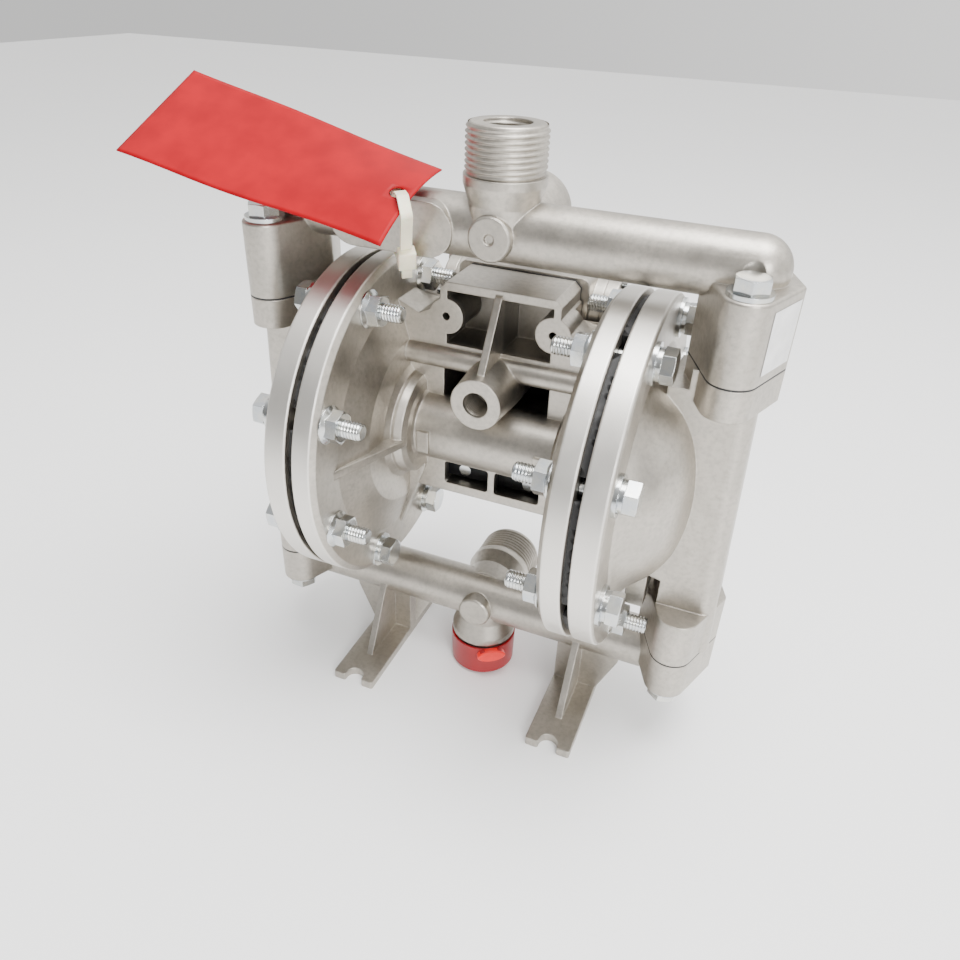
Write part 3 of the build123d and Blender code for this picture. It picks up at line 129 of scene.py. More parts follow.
# Corners of the hanging card: back and front of its tied end, then front and back of its far end
TAG_CORNERS = (
    Vector((-0.0310, 0.0066, 0.2602)), Vector((-0.0346, -0.0423, 0.2405)),
    Vector((-0.1661, -0.0343, 0.2600)), Vector((-0.1609, 0.0162, 0.2880)),
)
TAG_COLUMNS = 76
TAG_ROWS = 32
TAG_HOLE_COLUMN = 4
TAG_HOLE_CELLS = 3
TAG_HOLE_RADIUS = 0.0033
TAG_THICKNESS = 0.0006
TAG_BOWED_SHARE = 0.55
TAG_WAVE = 0.0012

# Oval pull tab of the plug cap: half length and half width, height, and turn from the front
TAB_LENGTH = 0.0078
TAB_WIDTH = 0.0036
TAB_HEIGHT = 0.0161
TAB_TURN = 35
TAB_STEPS = 32
# Distance from the cap's axis and share of the full size, from the root to the face of the tab
TAB_DEPTHS = ((0.0172, 1.0), (0.0199, 1.0), (0.0204, 0.9))

# Sectors each diaphragm is cut into, and the angle in degrees past which its edges shade sharp; the
# diaphragm is held by the flanges outside and carried by the plates inside
DIAPHRAGM_SECTORS = 12
CREASE_ANGLE = 35

# Locking head and cut tail of the tie: place of the head, then width, depth and height
TIE_HEAD = (-0.0352, -0.0190, 0.2292)
TIE_ACROSS = (1, 0.75, 0.1)
TIE_ALONG = (0.0, 0.50, -0.86)
TIE_HEAD_SIZE = (0.0076, 0.0056, 0.0088)
TIE_TAIL_SIZE = (0.0046, 0.0013, 0.0070)
TIE_TAIL_DROP = 0.0068
TIE_TAIL_OUT = 0.0004

# Blank label: edge of the leg's slanted face and its direction, then ends, heights and clearance
LABEL_EDGE = (0.11234, -0.02427, 0)
LABEL_ALONG = (0.3568, 0.9342, 0)
LABEL_ENDS = (0.0018, 0.0238)
LABEL_HEIGHTS = (0.2078, 0.2328)
LABEL_CLEARANCE = 0.00016

# Room light along each axis: from and to in the direction's share, then strength at both
SKY = (("X", -0.8, 0.8, 0.72, 1.45), ("Y", -0.7, 0.3, 0.45, 1.30), ("Z", 0.0, 0.9, 0.80, 1.60))
# Lamps: name, place, what it points at, size and power
LAMPS = (
    ("overhead", (0.25, -0.05, 1.5), (0, 0, 0.1), 0.9, 34),
    ("right", (0.9, -1.1, 0.7), (-0.04, 0, 0.14), 0.5, 17),
)
FLOOR_HALF = 3.0

# Camera: place, then azimuth, elevation and roll in degrees
CAMERA_PLACE = (0.11682, -0.31583, 0.33429)
CAMERA_TURN = (21.21, 32.76, 2.30)
SENSOR_WIDTH = 36


# ---------------------------------------------------------------- settings


class PumpCastingSettings(bpy.types.PropertyGroup):
    colour: FloatVectorProperty(
        name="Casting colour", description="Colour of the blasted castings",
        subtype="COLOR", size=3, min=0, max=1, default=(0.48, 0.448, 0.398))
    machined: FloatVectorProperty(
        name="Machined colour", description="Colour of the turned rims and faces",
        subtype="COLOR", size=3, min=0, max=1, default=(0.74, 0.715, 0.67))
    grain: FloatProperty(
        name="Grain", description="Size of the blasted grain", unit="LENGTH",
        default=0.0007, min=0.0001, max=0.005)
    edge: FloatProperty(
        name="Cast edge", description="Radius that softens the cast edges", unit="LENGTH",
        default=0.0009, min=0, max=0.004)


class PumpThreadSettings(bpy.types.PropertyGroup):
    bolt_crest: FloatProperty(
        name="Bolt radius", description="Crest radius of the 5/16 inch bolts", unit="LENGTH",
        default=0.00397, min=0.001, max=0.01)
    bolt_pitch: FloatProperty(
        name="Bolt pitch", description="Distance between the bolt's ridges", unit="LENGTH",
        default=0.00141, min=0.0005, max=0.01)
    pipe_crest: FloatProperty(
        name="Port radius", description="Crest radius of the 1 inch male pipe thread", unit="LENGTH",
        default=0.0167, min=0.005, max=0.05)
    pipe_pitch: FloatProperty(
        name="Port pitch", description="Distance between the pipe thread's ridges", unit="LENGTH",
        default=0.00221, min=0.0005, max=0.01)


class PumpTrimSettings(bpy.types.PropertyGroup):
    tag: FloatVectorProperty(
        name="Tag colour", description="Colour of the hanging card",
        subtype="COLOR", size=3, min=0, max=1, default=(0.33, 0.0004, 0.006))
    tab: FloatVectorProperty(
        name="Pull tab colour", subtype="COLOR", size=3, min=0, max=1, default=(0.85, 0.012, 0.008))
    bow: FloatProperty(
        name="Tag bow", description="How far the tied end of the card bows up", unit="LENGTH",
        default=0.0045, min=0, max=0.02)
    cap: FloatVectorProperty(
        name="Cap colour", description="Colour of the plug cap",
        subtype="COLOR", size=3, min=0, max=1, default=(0.33, 0.006, 0.010))
    tie: FloatVectorProperty(
        name="Tie colour", description="Colour of the nylon tie",
        subtype="COLOR", size=3, min=0, max=1, default=(0.86, 0.80, 0.60))
    label: BoolProperty(
        name="Blank label", description="Adds the blank white label on the right leg", default=True)


class PumpStageSettings(bpy.types.PropertyGroup):
    floor: FloatVectorProperty(
        name="Floor colour", description="Colour of the table top",
        subtype="COLOR", size=3, min=0, max=1, default=(0.93, 0.93, 0.93))
    light: FloatProperty(
        name="Studio light", description="Strength of the overhead light", default=1.0, min=0, max=10)
    lens: FloatProperty(
        name="Lens", description="Focal length on a 36 mm sensor, in millimetres",
        default=30.206, min=10, max=200)


# ---------------------------------------------------------------- materials


class Shader:
    """Small helper that builds a node material round one Principled shader."""

    def __init__(self, name):
        self.material = bpy.data.materials.new(name)
        self.material.use_nodes = True
        self.tree = self.material.node_tree
        self.nodes = self.tree.nodes
        self.surface = self.nodes["Principled BSDF"]
        self.position = self.node("ShaderNodeTexCoord").outputs["Object"]

    def node(self, kind, **values):
        made = self.nodes.new(kind)
        for key, value in values.items():
            setattr(made, key, value)
        return made

    def link(self, source, target):
        self.tree.links.new(source, target)

    def feed(self, target, value):
        if isinstance(value, bpy.types.NodeSocket):
            self.link(value, target)
        else:
            target.default_value = value

    def noise(self, size, detail=3.0, roughness=0.5, stretch=None):
        """Grey noise whose blobs are about size metres across."""
        vector = self.position
        if stretch:
            mapping = self.node("ShaderNodeMapping")
            mapping.inputs["Scale"].default_value = stretch
            self.link(vector, mapping.inputs["Vector"])
            vector = mapping.outputs["Vector"]
        made = self.node("ShaderNodeTexNoise")
        made.inputs["Scale"].default_value = 1.0 / size
        made.inputs["Detail"].default_value = detail
        made.inputs["Roughness"].default_value = roughness
        self.link(vector, made.inputs["Vector"])
        return made.outputs["Fac"]

    def ramp(self, value, low, high, start=0.0, end=1.0):
        """Maps low..high of the value to start..end."""
        made = self.node("ShaderNodeMapRange")
        for key, number in (("From Min", low), ("From Max", high), ("To Min", start), ("To Max", end)):
            made.inputs[key].default_value = number
        self.link(value, made.inputs["Value"])
        return made.outputs["Result"]

    def mix(self, factor, first, second):
        made = self.node("ShaderNodeMix", data_type="RGBA")
        self.feed(made.inputs[0], factor)
        for socket, colour in ((made.inputs[6], first), (made.inputs[7], second)):
            if isinstance(colour, bpy.types.NodeSocket):
                self.link(colour, socket)
            else:
                socket.default_value = (*colour, 1)
        return made.outputs[2]

    def math(self, operation, first, second=None):
        made = self.node("ShaderNodeMath", operation=operation)
        self.feed(made.inputs[0], first)
        if second is not None:
            self.feed(made.inputs[1], second)
        return made.outputs[0]

    def within(self, value, fade_in, fade_out):
        """1 where the value is past fade_in and before fade_out, and 0 elsewhere."""
        return self.math("MULTIPLY", self.ramp(value, *fade_in), self.ramp(value, *fade_out))

    def axes(self):
        split = self.node("ShaderNodeSeparateXYZ")
        self.link(self.position, split.inputs[0])
        return split.outputs

    def bump(self, height, strength, distance, edge=0.0, normal=None):
        made = self.node("ShaderNodeBump")
        made.inputs["Strength"].default_value = strength
        made.inputs["Distance"].default_value = distance
        self.link(height, made.inputs["Height"])
        if edge:
            rounding = self.node("ShaderNodeBevel", samples=6)
            rounding.inputs["Radius"].default_value = edge
            self.link(rounding.outputs["Normal"], made.inputs["Normal"])
        elif normal:
            self.link(normal, made.inputs["Normal"])
        return made.outputs["Normal"]

    def finish(self, colour, roughness, metallic=0.0, normal=None, **sockets):
        self.feed(self.surface.inputs["Base Color"],
                  colour if isinstance(colour, bpy.types.NodeSocket) else (*colour, 1))
        self.feed(self.surface.inputs["Roughness"], roughness)
        self.surface.inputs["Metallic"].default_value = metallic
        if normal:
            self.link(normal, self.surface.inputs["Normal"])
        for key, value in sockets.items():
            self.surface.inputs[key.replace("_", " ")].default_value = value
        return self.material


def darker(colour, share):
    return tuple(c * share for c in colour)


def casting_material(settings):
    """Blasted cast stainless with turned flange rims, and painted shade darkening the pockets of the centre
    casting.
    """
    shade = Shader("blasted_casting")
    x, y, z = shade.axes()
    along = shade.math("ABSOLUTE", x)
    rise = shade.math("SUBTRACT", z, SHAFT_HEIGHT)
    squares = shade.math("ADD", shade.math("MULTIPLY", y, y), shade.math("MULTIPLY", rise, rise))
    radius = shade.math("SQRT", squares)
    rim = shade.math("MULTIPLY", shade.within(radius, *RIM_RADIUS), shade.within(along, *RIM_REACH))
    blotch = shade.noise(0.018, 4, 0.55)
    speck = shade.noise(0.0022, 3, 0.6)
    colour = shade.mix(shade.ramp(blotch, 0.35, 0.68), darker(settings.colour, 0.90),
                       darker(settings.colour, 1.08))
    colour = shade.mix(shade.ramp(speck, 0.42, 0.72, 0, 0.55), colour, darker(settings.colour, 0.68))
    colour = shade.mix(rim, colour, settings.machined)
    # Painted shade: the pockets of the centre casting are darkened where shade falls inside them
    inside = shade.math("MULTIPLY", shade.within(y, *POCKET_SHADE_DEPTH), shade.within(z, *POCKET_SHADE_HEIGHT))
    inside = shade.math("MULTIPLY", inside, shade.ramp(along, *POCKET_SHADE_EDGE))
    colour = shade.mix(shade.math("MULTIPLY", inside, 0.55), colour, darker(settings.colour, 0.25))
    grain = shade.noise(settings.grain, 2, 0.5)
    pit = shade.noise(0.0035, 4, 0.6)
    height = shade.math("ADD", shade.math("MULTIPLY", grain, 0.5), pit)
    rings = shade.node("ShaderNodeTexWave", bands_direction="X", wave_type="BANDS")
    rings.inputs["Scale"].default_value = 620
    rings.inputs["Distortion"].default_value = 0.6
    shade.link(shade.position, rings.inputs["Vector"])
    keep = shade.math("SUBTRACT", 1.0, rim)
    height = shade.math("ADD", shade.math("MULTIPLY", height, keep),
                        shade.math("MULTIPLY", shade.math("MULTIPLY", rings.outputs["Fac"], 0.35), rim))
    normal = shade.bump(height, 0.28, 0.00022, settings.edge)
    rough = shade.ramp(blotch, 0.3, 0.7, 0.36, 0.45)
    rough = shade.math("ADD", rough, shade.math("MULTIPLY", rim, 0.03))
    return shade.finish(colour, rough, 1.0, normal)


def zinc_material():
    """Bright zinc plate with a faint blue and yellow cast."""
    shade = Shader("bright_zinc")
    tone = shade.noise(0.006, 3, 0.6)
    colour = shade.mix(shade.ramp(tone, 0.35, 0.65), ZINC_BLUE, ZINC_YELLOW)
    scuff = shade.noise(0.0016, 4, 0.6)
    colour = shade.mix(shade.ramp(scuff, 0.58, 0.8, 0, 0.30), colour, ZINC_SCUFF)
    normal = shade.bump(shade.noise(0.003, 2, 0.4), 0.02, 0.00002, 0.00025)
    return shade.finish(colour, shade.ramp(scuff, 0.3, 0.8, 0.17, 0.26), 1.0, normal)


def rubber_material():
    shade = Shader("black_rubber")
    dust = shade.noise(0.004, 4, 0.6)
    colour = shade.mix(shade.ramp(dust, 0.45, 0.8, 0, 0.6), RUBBER_BLACK, RUBBER_DUST)
    normal = shade.bump(shade.noise(0.0008, 2, 0.5), 0.25, 0.0001)
    return shade.finish(colour, shade.ramp(dust, 0.3, 0.7, 0.50, 0.68), 0.0, normal)


def plastic_material(name, colour, roughness, grain=0.0006, strength=0.2, edge=0.0005, **sockets):
    """Moulded plastic with a fine moulded grain and a slightly uneven colour."""
    shade = Shader(name)
    cloud = shade.noise(0.012, 3, 0.5)
    tinted = shade.mix(shade.ramp(cloud, 0.35, 0.7), darker(colour, 0.86), darker(colour, 1.1))
    normal = shade.bump(shade.noise(grain, 2, 0.5), strength, 0.00008, edge)
    dullness = shade.ramp(cloud, 0.3, 0.7, roughness - 0.04, roughness + 0.06)
    return shade.finish(tinted, dullness, 0.0, normal, **sockets)


def turned_material(name, colour, roughness, axis="X"):
    """Turned or ground metal with fine tool marks round one axis."""
    shade = Shader(name)
    tone = shade.noise(0.01, 3, 0.5)
    tinted = shade.mix(shade.ramp(tone, 0.35, 0.7), darker(colour, 0.88), darker(colour, 1.08))
    marks = shade.node("ShaderNodeTexWave", bands_direction=axis, wave_type="BANDS")
    marks.inputs["Scale"].default_value = 900
    marks.inputs["Distortion"].default_value = 0.4
    shade.link(shade.position, marks.inputs["Vector"])
    normal = shade.bump(marks.outputs["Fac"], 0.12, 0.00005, 0.0003)
    return shade.finish(tinted, shade.ramp(tone, 0.3, 0.7, roughness, roughness + 0.1), 1.0, normal)


def dress(material, *names):
    """Gives CAD nodes a finish through their material slots."""
    for name in names:
        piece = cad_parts[name]
        while len(piece.material_slots) < 1:
            piece.data.materials.append(None)
        for slot in piece.material_slots:
            slot.link = "OBJECT"
            slot.material = material


# ---------------------------------------------------------------- mesh helpers


def new_piece(name, points, faces, material, body="base", smooth=True):
    mesh = bpy.data.meshes.new(name)
    mesh.from_pydata([tuple(p) for p in points], [], faces)
    mesh.update()
    if smooth:
        mesh.shade_smooth()
    piece = bpy.data.objects.new(name, mesh)
    bpy.context.scene.collection.objects.link(piece)
    mesh.materials.append(material)
    if body:
        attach(piece, body)
    return piece


def loft(rings, closed=False):
    """Quad faces between rings of equal length; each ring is a closed loop."""
    points, faces = [], []
    count = len(rings[0])
    for ring in rings:
        points.extend(ring)
    rows = len(rings)
    for r in range(rows if closed else rows - 1):
        a, b = r * count, ((r + 1) % rows) * count
        for i in range(count):
            j = (i + 1) % count
            faces.append((a + i, a + j, b + j, b + i))
    return points, faces


def frame_of(axis):
    """Two directions square to the axis."""
    axis = Vector(axis).normalized()
    side = axis.orthogonal().normalized()
    return axis, side, axis.cross(side)


def thread_sleeve(start, axis, length, root, crest, pitch, segments, inside=False):
    """Helical thread as a sleeve round (or inside) a plain cylinder; its ridges run out at both ends."""
    axis, side, other = frame_of(axis)
    start = Vector(start)
    steps_per_turn = 6
    least_ridge = 0.15
    valley, flank = 0.12, 0.72
    rows = max(3, int(length / pitch * steps_per_turn))
    rings = []
    for r in range(rows + 1):
        along = length * r / rows
        ring = []
        fade = min(1.0, along / pitch + least_ridge, (length - along) / pitch + least_ridge)
        for i in range(segments):
            angle = 2 * math.pi * i / segments
            turn = (along / pitch - angle / (2 * math.pi)) % 1.0
            ridge = 1.0 - abs(2 * turn - 1.0)
            ridge = min(1.0, max(0.0, (ridge - valley) / flank))
            radius = root + (crest - root) * ridge * fade
            ring.append(start + axis * along + (side * math.cos(angle) + other * math.sin(angle)) * radius)
        rings.append(ring)
    if inside:
        rings.reverse()
    return loft(rings)


def block(name, centre, axes, size, round_by, material, body="base"):
    """Box with rounded edges; axes are the directions of its width, depth and height."""
    shape = bmesh.new()
    bmesh.ops.create_cube(shape, size=1)
    place = Matrix([Vector(a).normalized() * s for a, s in zip(axes, size)]).transposed()
    bmesh.ops.transform(shape, matrix=place.to_4x4(), verts=shape.verts)
    bmesh.ops.translate(shape, vec=Vector(centre), verts=shape.verts)
    bmesh.ops.bevel(shape, geom=shape.edges[:], offset=round_by, segments=3, affect="EDGES", profile=0.6)
    bmesh.ops.recalc_face_normals(shape, faces=shape.faces)
    shape.verts.index_update()
    points = [v.co.copy() for v in shape.verts]
    faces = [tuple(v.index for v in f.verts) for f in shape.faces]
    shape.free()
    return new_piece(name, points, faces, material, body=body)


def joined(parts):
    points, faces = [], []
    for some_points, some_faces in parts:
        base = len(points)
        points.extend(some_points)
        faces.extend(tuple(base + i for i in face) for face in some_faces)
    return points, faces


# ---------------------------------------------------------------- operators


class PUMP_OT_castings(bpy.types.Operator):
    """Finishes the blasted castings"""
    bl_idname = "pump.castings"
    bl_label = "Castings"

    def execute(self, context):
        dress(casting_material(context.scene.pump_casting), *CASTINGS)
        return {"FINISHED"}


class PUMP_OT_fasteners(bpy.types.Operator):
    """Finishes the bolts, nuts, washers and screws"""
    bl_idname = "pump.fasteners"
    bl_label = "Fasteners"

    def execute(self, context):
        dress(zinc_material(), *FASTENERS)
        return {"FINISHED"}


class PUMP_OT_inner_parts(bpy.types.Operator):
    """Finishes the shaft, plates, balls, seats, seals and the air valve's parts"""
    bl_idname = "pump.inner_parts"
    bl_label = "Inner parts"

    def execute(self, context):
        rubber = rubber_material()
        dress(rubber, "seat_o_rings", "manifold_gaskets", "valve_gasket", "shaft_seals",
              "diaphragm_left", "diaphragm_right")
        dress(plastic_material("ball_rubber", BALL_BLACK, 0.42), "suction_ball_left",
              "suction_ball_right", "discharge_ball_left", "discharge_ball_right")
        dress(turned_material("ground_shaft", SHAFT_STEEL, 0.16), "diaphragm_shaft", "pilot_rod",
              "valve_spool")
        dress(turned_material("turned_plate", PLATE_STEEL, 0.34), "inner_plate_left",
              "inner_plate_right", "outer_plate_left", "outer_plate_right")
        dress(turned_material("bearing_bronze", BRONZE, 0.30), "shaft_bushings", "valve_sleeve")
        dress(turned_material("turned_seat", SEAT_STEEL, 0.26, "Z"), "suction_seats", "discharge_seats")
        dress(plastic_material("black_moulding", BLACK_PLASTIC, 0.45, 0.0012, 0.35),
              "exhaust_housing", "muffler")
        return {"FINISHED"}


class PUMP_OT_bolt_threads(bpy.types.Operator):
    """Adds the ridges of the chamber bolts"""
    bl_idname = "pump.bolt_threads"
    bl_label = "Bolt threads"

    def execute(self, context):
        sizes = context.scene.pump_threads
        zinc = bpy.data.materials["bright_zinc"]
        for name, side in (("left", -1), ("right", 1)):
            parts = []
            for i in range(BOLT_COUNT):
                angle = math.radians((i + 0.5) * 360 / BOLT_COUNT)
                y, z = BOLT_CIRCLE * math.sin(angle), SHAFT_HEIGHT + BOLT_CIRCLE * math.cos(angle)
                if i in BOLTS_POINTING_OUT:
                    start, direction, length = FLANGE_OUTER_FACE + THREAD_OFFSET, 1, THREAD_LENGTH_OUT
                else:
                    start, direction, length = FLANGE_INNER_FACE - THREAD_OFFSET, -1, THREAD_LENGTH_IN
                parts.append(thread_sleeve((side * start * MM, y, z), (side * direction, 0, 0), length * MM,
                                           BOLT_ROOT, sizes.bolt_crest, sizes.bolt_pitch, 28))
            points, faces = joined(parts)
            new_piece("chamber_bolt_threads_" + name, points, faces, zinc)
        return {"FINISHED"}


class PUMP_OT_port_threads(bpy.types.Operator):
    """Adds the male and female pipe threads of the ports and the air inlet"""
    bl_idname = "pump.port_threads"
    bl_label = "Port threads"

    def execute(self, context):
        sizes = context.scene.pump_threads
        metal = bpy.data.materials["blasted_casting"]
        for name, start, axis in PORTS:
            points, faces = thread_sleeve(start, axis, PORT_THREAD_LENGTH, PORT_THREAD_ROOT,
                                          sizes.pipe_crest, sizes.pipe_pitch, 96)
            new_piece(name + "_port_thread", points, faces, metal)
            inner = Vector(start) + Vector(axis) * PORT_BORE_SETBACK
            points, faces = thread_sleeve(inner, axis, PORT_BORE_LENGTH, PORT_BORE_ROOT,
                                          PORT_BORE_CREST, PORT_BORE_PITCH, 64, inside=True)
            new_piece(name + "_port_bore_thread", points, faces, metal)
        points, faces = thread_sleeve(INLET_START, INLET_AXIS, INLET_LENGTH, INLET_ROOT,
                                      INLET_CREST, INLET_PITCH, 40, inside=True)
        new_piece("air_inlet_thread", points, faces, metal)
        return {"FINISHED"}


class PUMP_OT_diaphragms(bpy.types.Operator):
    """Adds each diaphragm as sectors cut from the whole one, which it hides; the diaphragm spans from the
    clamped rim to the plates of the shaft
    """
    bl_idname = "pump.diaphragms"
    bl_label = "Diaphragms"

    def execute(self, context):
        rubber = bpy.data.materials["black_rubber"]
        for node in ("diaphragm_left", "diaphragm_right"):
            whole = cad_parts[node]
            middle = sum((whole.matrix_world @ Vector(c)).x for c in whole.bound_box) / 8
            centre = Vector((middle, 0, SHAFT_HEIGHT))
            for number in range(DIAPHRAGM_SECTORS):
                turn = 2 * math.pi * number / DIAPHRAGM_SECTORS
                out = Vector((0, math.sin(turn), math.cos(turn)))
                sector = self.sector("%s_sector_%02d" % (node, number + 1), whole, centre, out, rubber)
                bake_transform(sector)
                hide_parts(node)
        return {"FINISHED"}

    def sector(self, name, whole, centre, out, rubber):
        """Cuts one sector of the diaphragm, whose middle points along out."""
        shape = bmesh.new()
        shape.from_mesh(whole.data)
        bmesh.ops.transform(shape, matrix=whole.matrix_world, verts=shape.verts)
        bmesh.ops.remove_doubles(shape, verts=shape.verts, dist=1e-6)
        half = math.pi / DIAPHRAGM_SECTORS
        for side in (-1, 1):
            across = Vector((side, 0, 0)).cross(out)
            edge_normal = across * math.cos(half) - out * math.sin(half)
            bmesh.ops.bisect_plane(shape, geom=shape.verts[:] + shape.edges[:] + shape.faces[:],
                                   plane_co=centre, plane_no=edge_normal, clear_outer=True)
        mesh = bpy.data.meshes.new(name)
        shape.to_mesh(mesh)
        shape.free()
        mesh.materials.clear()
        mesh.materials.append(rubber)
        mesh.shade_smooth()
        mesh.set_sharp_from_angle(angle=math.radians(CREASE_ANGLE))
        piece = bpy.data.objects.new(name, mesh)
        bpy.context.scene.collection.objects.link(piece)
        return piece


class PUMP_OT_dish_ribs(bpy.types.Operator):
    """Adds the long cast ribs that run from the hub rings out to the flanges"""
    bl_idname = "pump.dish_ribs"
    bl_label = "Dish ribs"

    def execute(self, context):
        metal = bpy.data.materials["blasted_casting"]
        for name, side in (("left", -1), ("right", 1)):
            parts = [self.rib(side, math.radians(angle)) for angle in RIB_ANGLES]
            points, faces = joined(parts)
            new_piece("dish_ribs_" + name, points, faces, metal, smooth=False)
        return {"FINISHED"}

    def rib(self, side, angle):
        """Wedge whose crest falls from the hub ring to the flange; angle 0 points up."""
        out = Vector((0, math.sin(angle), math.cos(angle)))
        across = Vector((side, 0, 0)).cross(out)
        rings = []
        for (cx, cr), (rx, rr) in zip(RIB_CREST, RIB_ROOT):
            top = Vector((side * cx, 0, SHAFT_HEIGHT)) + out * cr
            foot = Vector((side * rx, 0, SHAFT_HEIGHT)) + out * rr
            rings.append([foot - across * RIB_ROOT_HALF, top - across * RIB_CREST_HALF,
                          top + across * RIB_CREST_HALF, foot + across * RIB_ROOT_HALF])
        points, faces = loft(rings)
        return points, faces + [(3, 2, 1, 0), (8, 9, 10, 11)]


class PUMP_OT_plug_cap(bpy.types.Operator):
    """Finishes the soft plug cap of the lower port and adds its pull tab"""
    bl_idname = "pump.plug_cap"
    bl_label = "Plug cap"

    def execute(self, context):
        trim = context.scene.pump_trim
        dress(plastic_material("plug_cap", trim.cap, 0.38, Coat_Weight=0.2), "protective_cap")
        tab = plastic_material("pull_tab", trim.tab, 0.30, 0.002, 0.05, 0, Coat_Weight=0.2)
        turn = math.radians(TAB_TURN)
        out = Vector((math.sin(turn), -math.cos(turn), 0))
        along = Vector((math.cos(turn), math.sin(turn), 0))
        rings = []
        for reach, share in TAB_DEPTHS:
            centre = out * reach + Vector((0, 0, TAB_HEIGHT))
            rings.append([centre + along * (TAB_LENGTH * share * math.cos(a))
                          + Vector((0, 0, TAB_WIDTH * share * math.sin(a))) for a in self.steps()])
        points, faces = loft(rings)
        last = len(points)
        faces += [tuple(range(len(rings[0]) - 1, -1, -1)), tuple(range(last - len(rings[0]), last))]
        new_piece("pull_tab", points, faces, tab, smooth=False)
        return {"FINISHED"}

    def steps(self):
        return [2 * math.pi * i / TAB_STEPS for i in range(TAB_STEPS)]


class PUMP_OT_tag(bpy.types.Operator):
    """Adds the thin bowed card, left bare, in place of the flat one"""
    bl_idname = "pump.tag"
    bl_label = "Tag"

    def execute(self, context):
        trim = context.scene.pump_trim
        material = plastic_material("tag_card", trim.tag, 0.42, 0.002, 0.08, 0,
                                    Specular_IOR_Level=0.12)
        points, faces = self.card(trim.bow)
        card = new_piece("tag", points, faces, material)
        thickness = card.modifiers.new("thickness", "SOLIDIFY")
        thickness.thickness = TAG_THICKNESS
        thickness.offset = 0
        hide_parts("safety_tag")
        return {"FINISHED"}

    def surface(self, column, row, bow):
        """Point of the card; the tied end bows up across its width."""
        s, t = column / TAG_COLUMNS, row / TAG_ROWS
        back = TAG_CORNERS[0].lerp(TAG_CORNERS[3], s)
        front = TAG_CORNERS[1].lerp(TAG_CORNERS[2], s)
        along = TAG_CORNERS[3] - TAG_CORNERS[0]
        normal = along.cross(TAG_CORNERS[1] - TAG_CORNERS[0]).normalized()
        arch = bow * max(0.0, 1 - s / TAG_BOWED_SHARE) ** 1.5 * (1 - (2 * t - 1) ** 2)
        wave = TAG_WAVE * math.sin(2.6 * math.pi * s) * (t - 0.35)
        return back.lerp(front, t) + normal * (arch + wave)

    def card(self, bow):
        """Grid of the card with a round hole near its tied end."""
        across = TAG_ROWS + 1
        points = [self.surface(c, r, bow) for c in range(TAG_COLUMNS + 1) for r in range(across)]
        low_column, high_column = TAG_HOLE_COLUMN - TAG_HOLE_CELLS, TAG_HOLE_COLUMN + TAG_HOLE_CELLS
        middle = TAG_ROWS // 2
        low_row, high_row = middle - TAG_HOLE_CELLS, middle + TAG_HOLE_CELLS
        faces = []
        for c in range(TAG_COLUMNS):
            for r in range(TAG_ROWS):
                if low_column <= c < high_column and low_row <= r < high_row:
                    continue
                corner = c * across + r
                faces.append((corner, corner + 1, corner + across + 1, corner + across))
        edge = [(c, low_row) for c in range(low_column, high_column)]
        edge += [(high_column, r) for r in range(low_row, high_row)]
        edge += [(c, high_row) for c in range(high_column, low_column, -1)]
        edge += [(low_column, r) for r in range(high_row, low_row, -1)]
        cell_length = (TAG_CORNERS[3] - TAG_CORNERS[0]).length / TAG_COLUMNS
        cell_width = (TAG_CORNERS[1] - TAG_CORNERS[0]).length / TAG_ROWS
        first = len(points)
        for c, r in edge:
            offset = math.hypot((c - TAG_HOLE_COLUMN) * cell_length, (r - middle) * cell_width)
            reach = TAG_HOLE_RADIUS / offset
            points.append(self.surface(TAG_HOLE_COLUMN + (c - TAG_HOLE_COLUMN) * reach,
                                       middle + (r - middle) * reach, bow))
        for i, (c, r) in enumerate(edge):
            j = (i + 1) % len(edge)
            faces.append((c * across + r, first + i, first + j, edge[j][0] * across + edge[j][1]))
        return points, faces


class PUMP_OT_tie(bpy.types.Operator):
    """Finishes the tie's loop and adds its locking head and cut tail"""
    bl_idname = "pump.tie"
    bl_label = "Tie"

    def execute(self, context):
        trim = context.scene.pump_trim
        nylon = plastic_material("tie_nylon", trim.tie, 0.4, Subsurface_Weight=0.25, Subsurface_Scale=0.003)
        dress(nylon, "cable_tie")
        across = Vector(TIE_ACROSS).normalized()
        along = Vector(TIE_ALONG)
        along = (along - across * along.dot(across)).normalized()
        out = along.cross(across)
        head = Vector(TIE_HEAD)
        block("tie_head", head, (across, out, along), TIE_HEAD_SIZE, 0.0008, nylon)
        tail = head + along * TIE_TAIL_DROP + out * TIE_TAIL_OUT
        block("tie_tail", tail, (across, out, along), TIE_TAIL_SIZE, 0.0004, nylon)
        return {"FINISHED"}


class PUMP_OT_label(bpy.types.Operator):
    """Adds the blank white label on the slanted face of the right leg"""
    bl_idname = "pump.label"
    bl_label = "Blank label"

    def execute(self, context):
        if not context.scene.pump_trim.label:
            return {"FINISHED"}
        paper = plastic_material("label_paper", LABEL_WHITE, 0.45, 0.003, 0.03, 0)
        along = Vector(LABEL_ALONG)
        out = Vector((along.y, -along.x, 0)) * LABEL_CLEARANCE
        near, far = (Vector(LABEL_EDGE) + along * end + out for end in LABEL_ENDS)
        low, high = (Vector((0, 0, height)) for height in LABEL_HEIGHTS)
        new_piece("leg_label", [near + low, far + low, far + high, near + high], [(0, 1, 2, 3)], paper,
                  smooth=False)
        return {"FINISHED"}


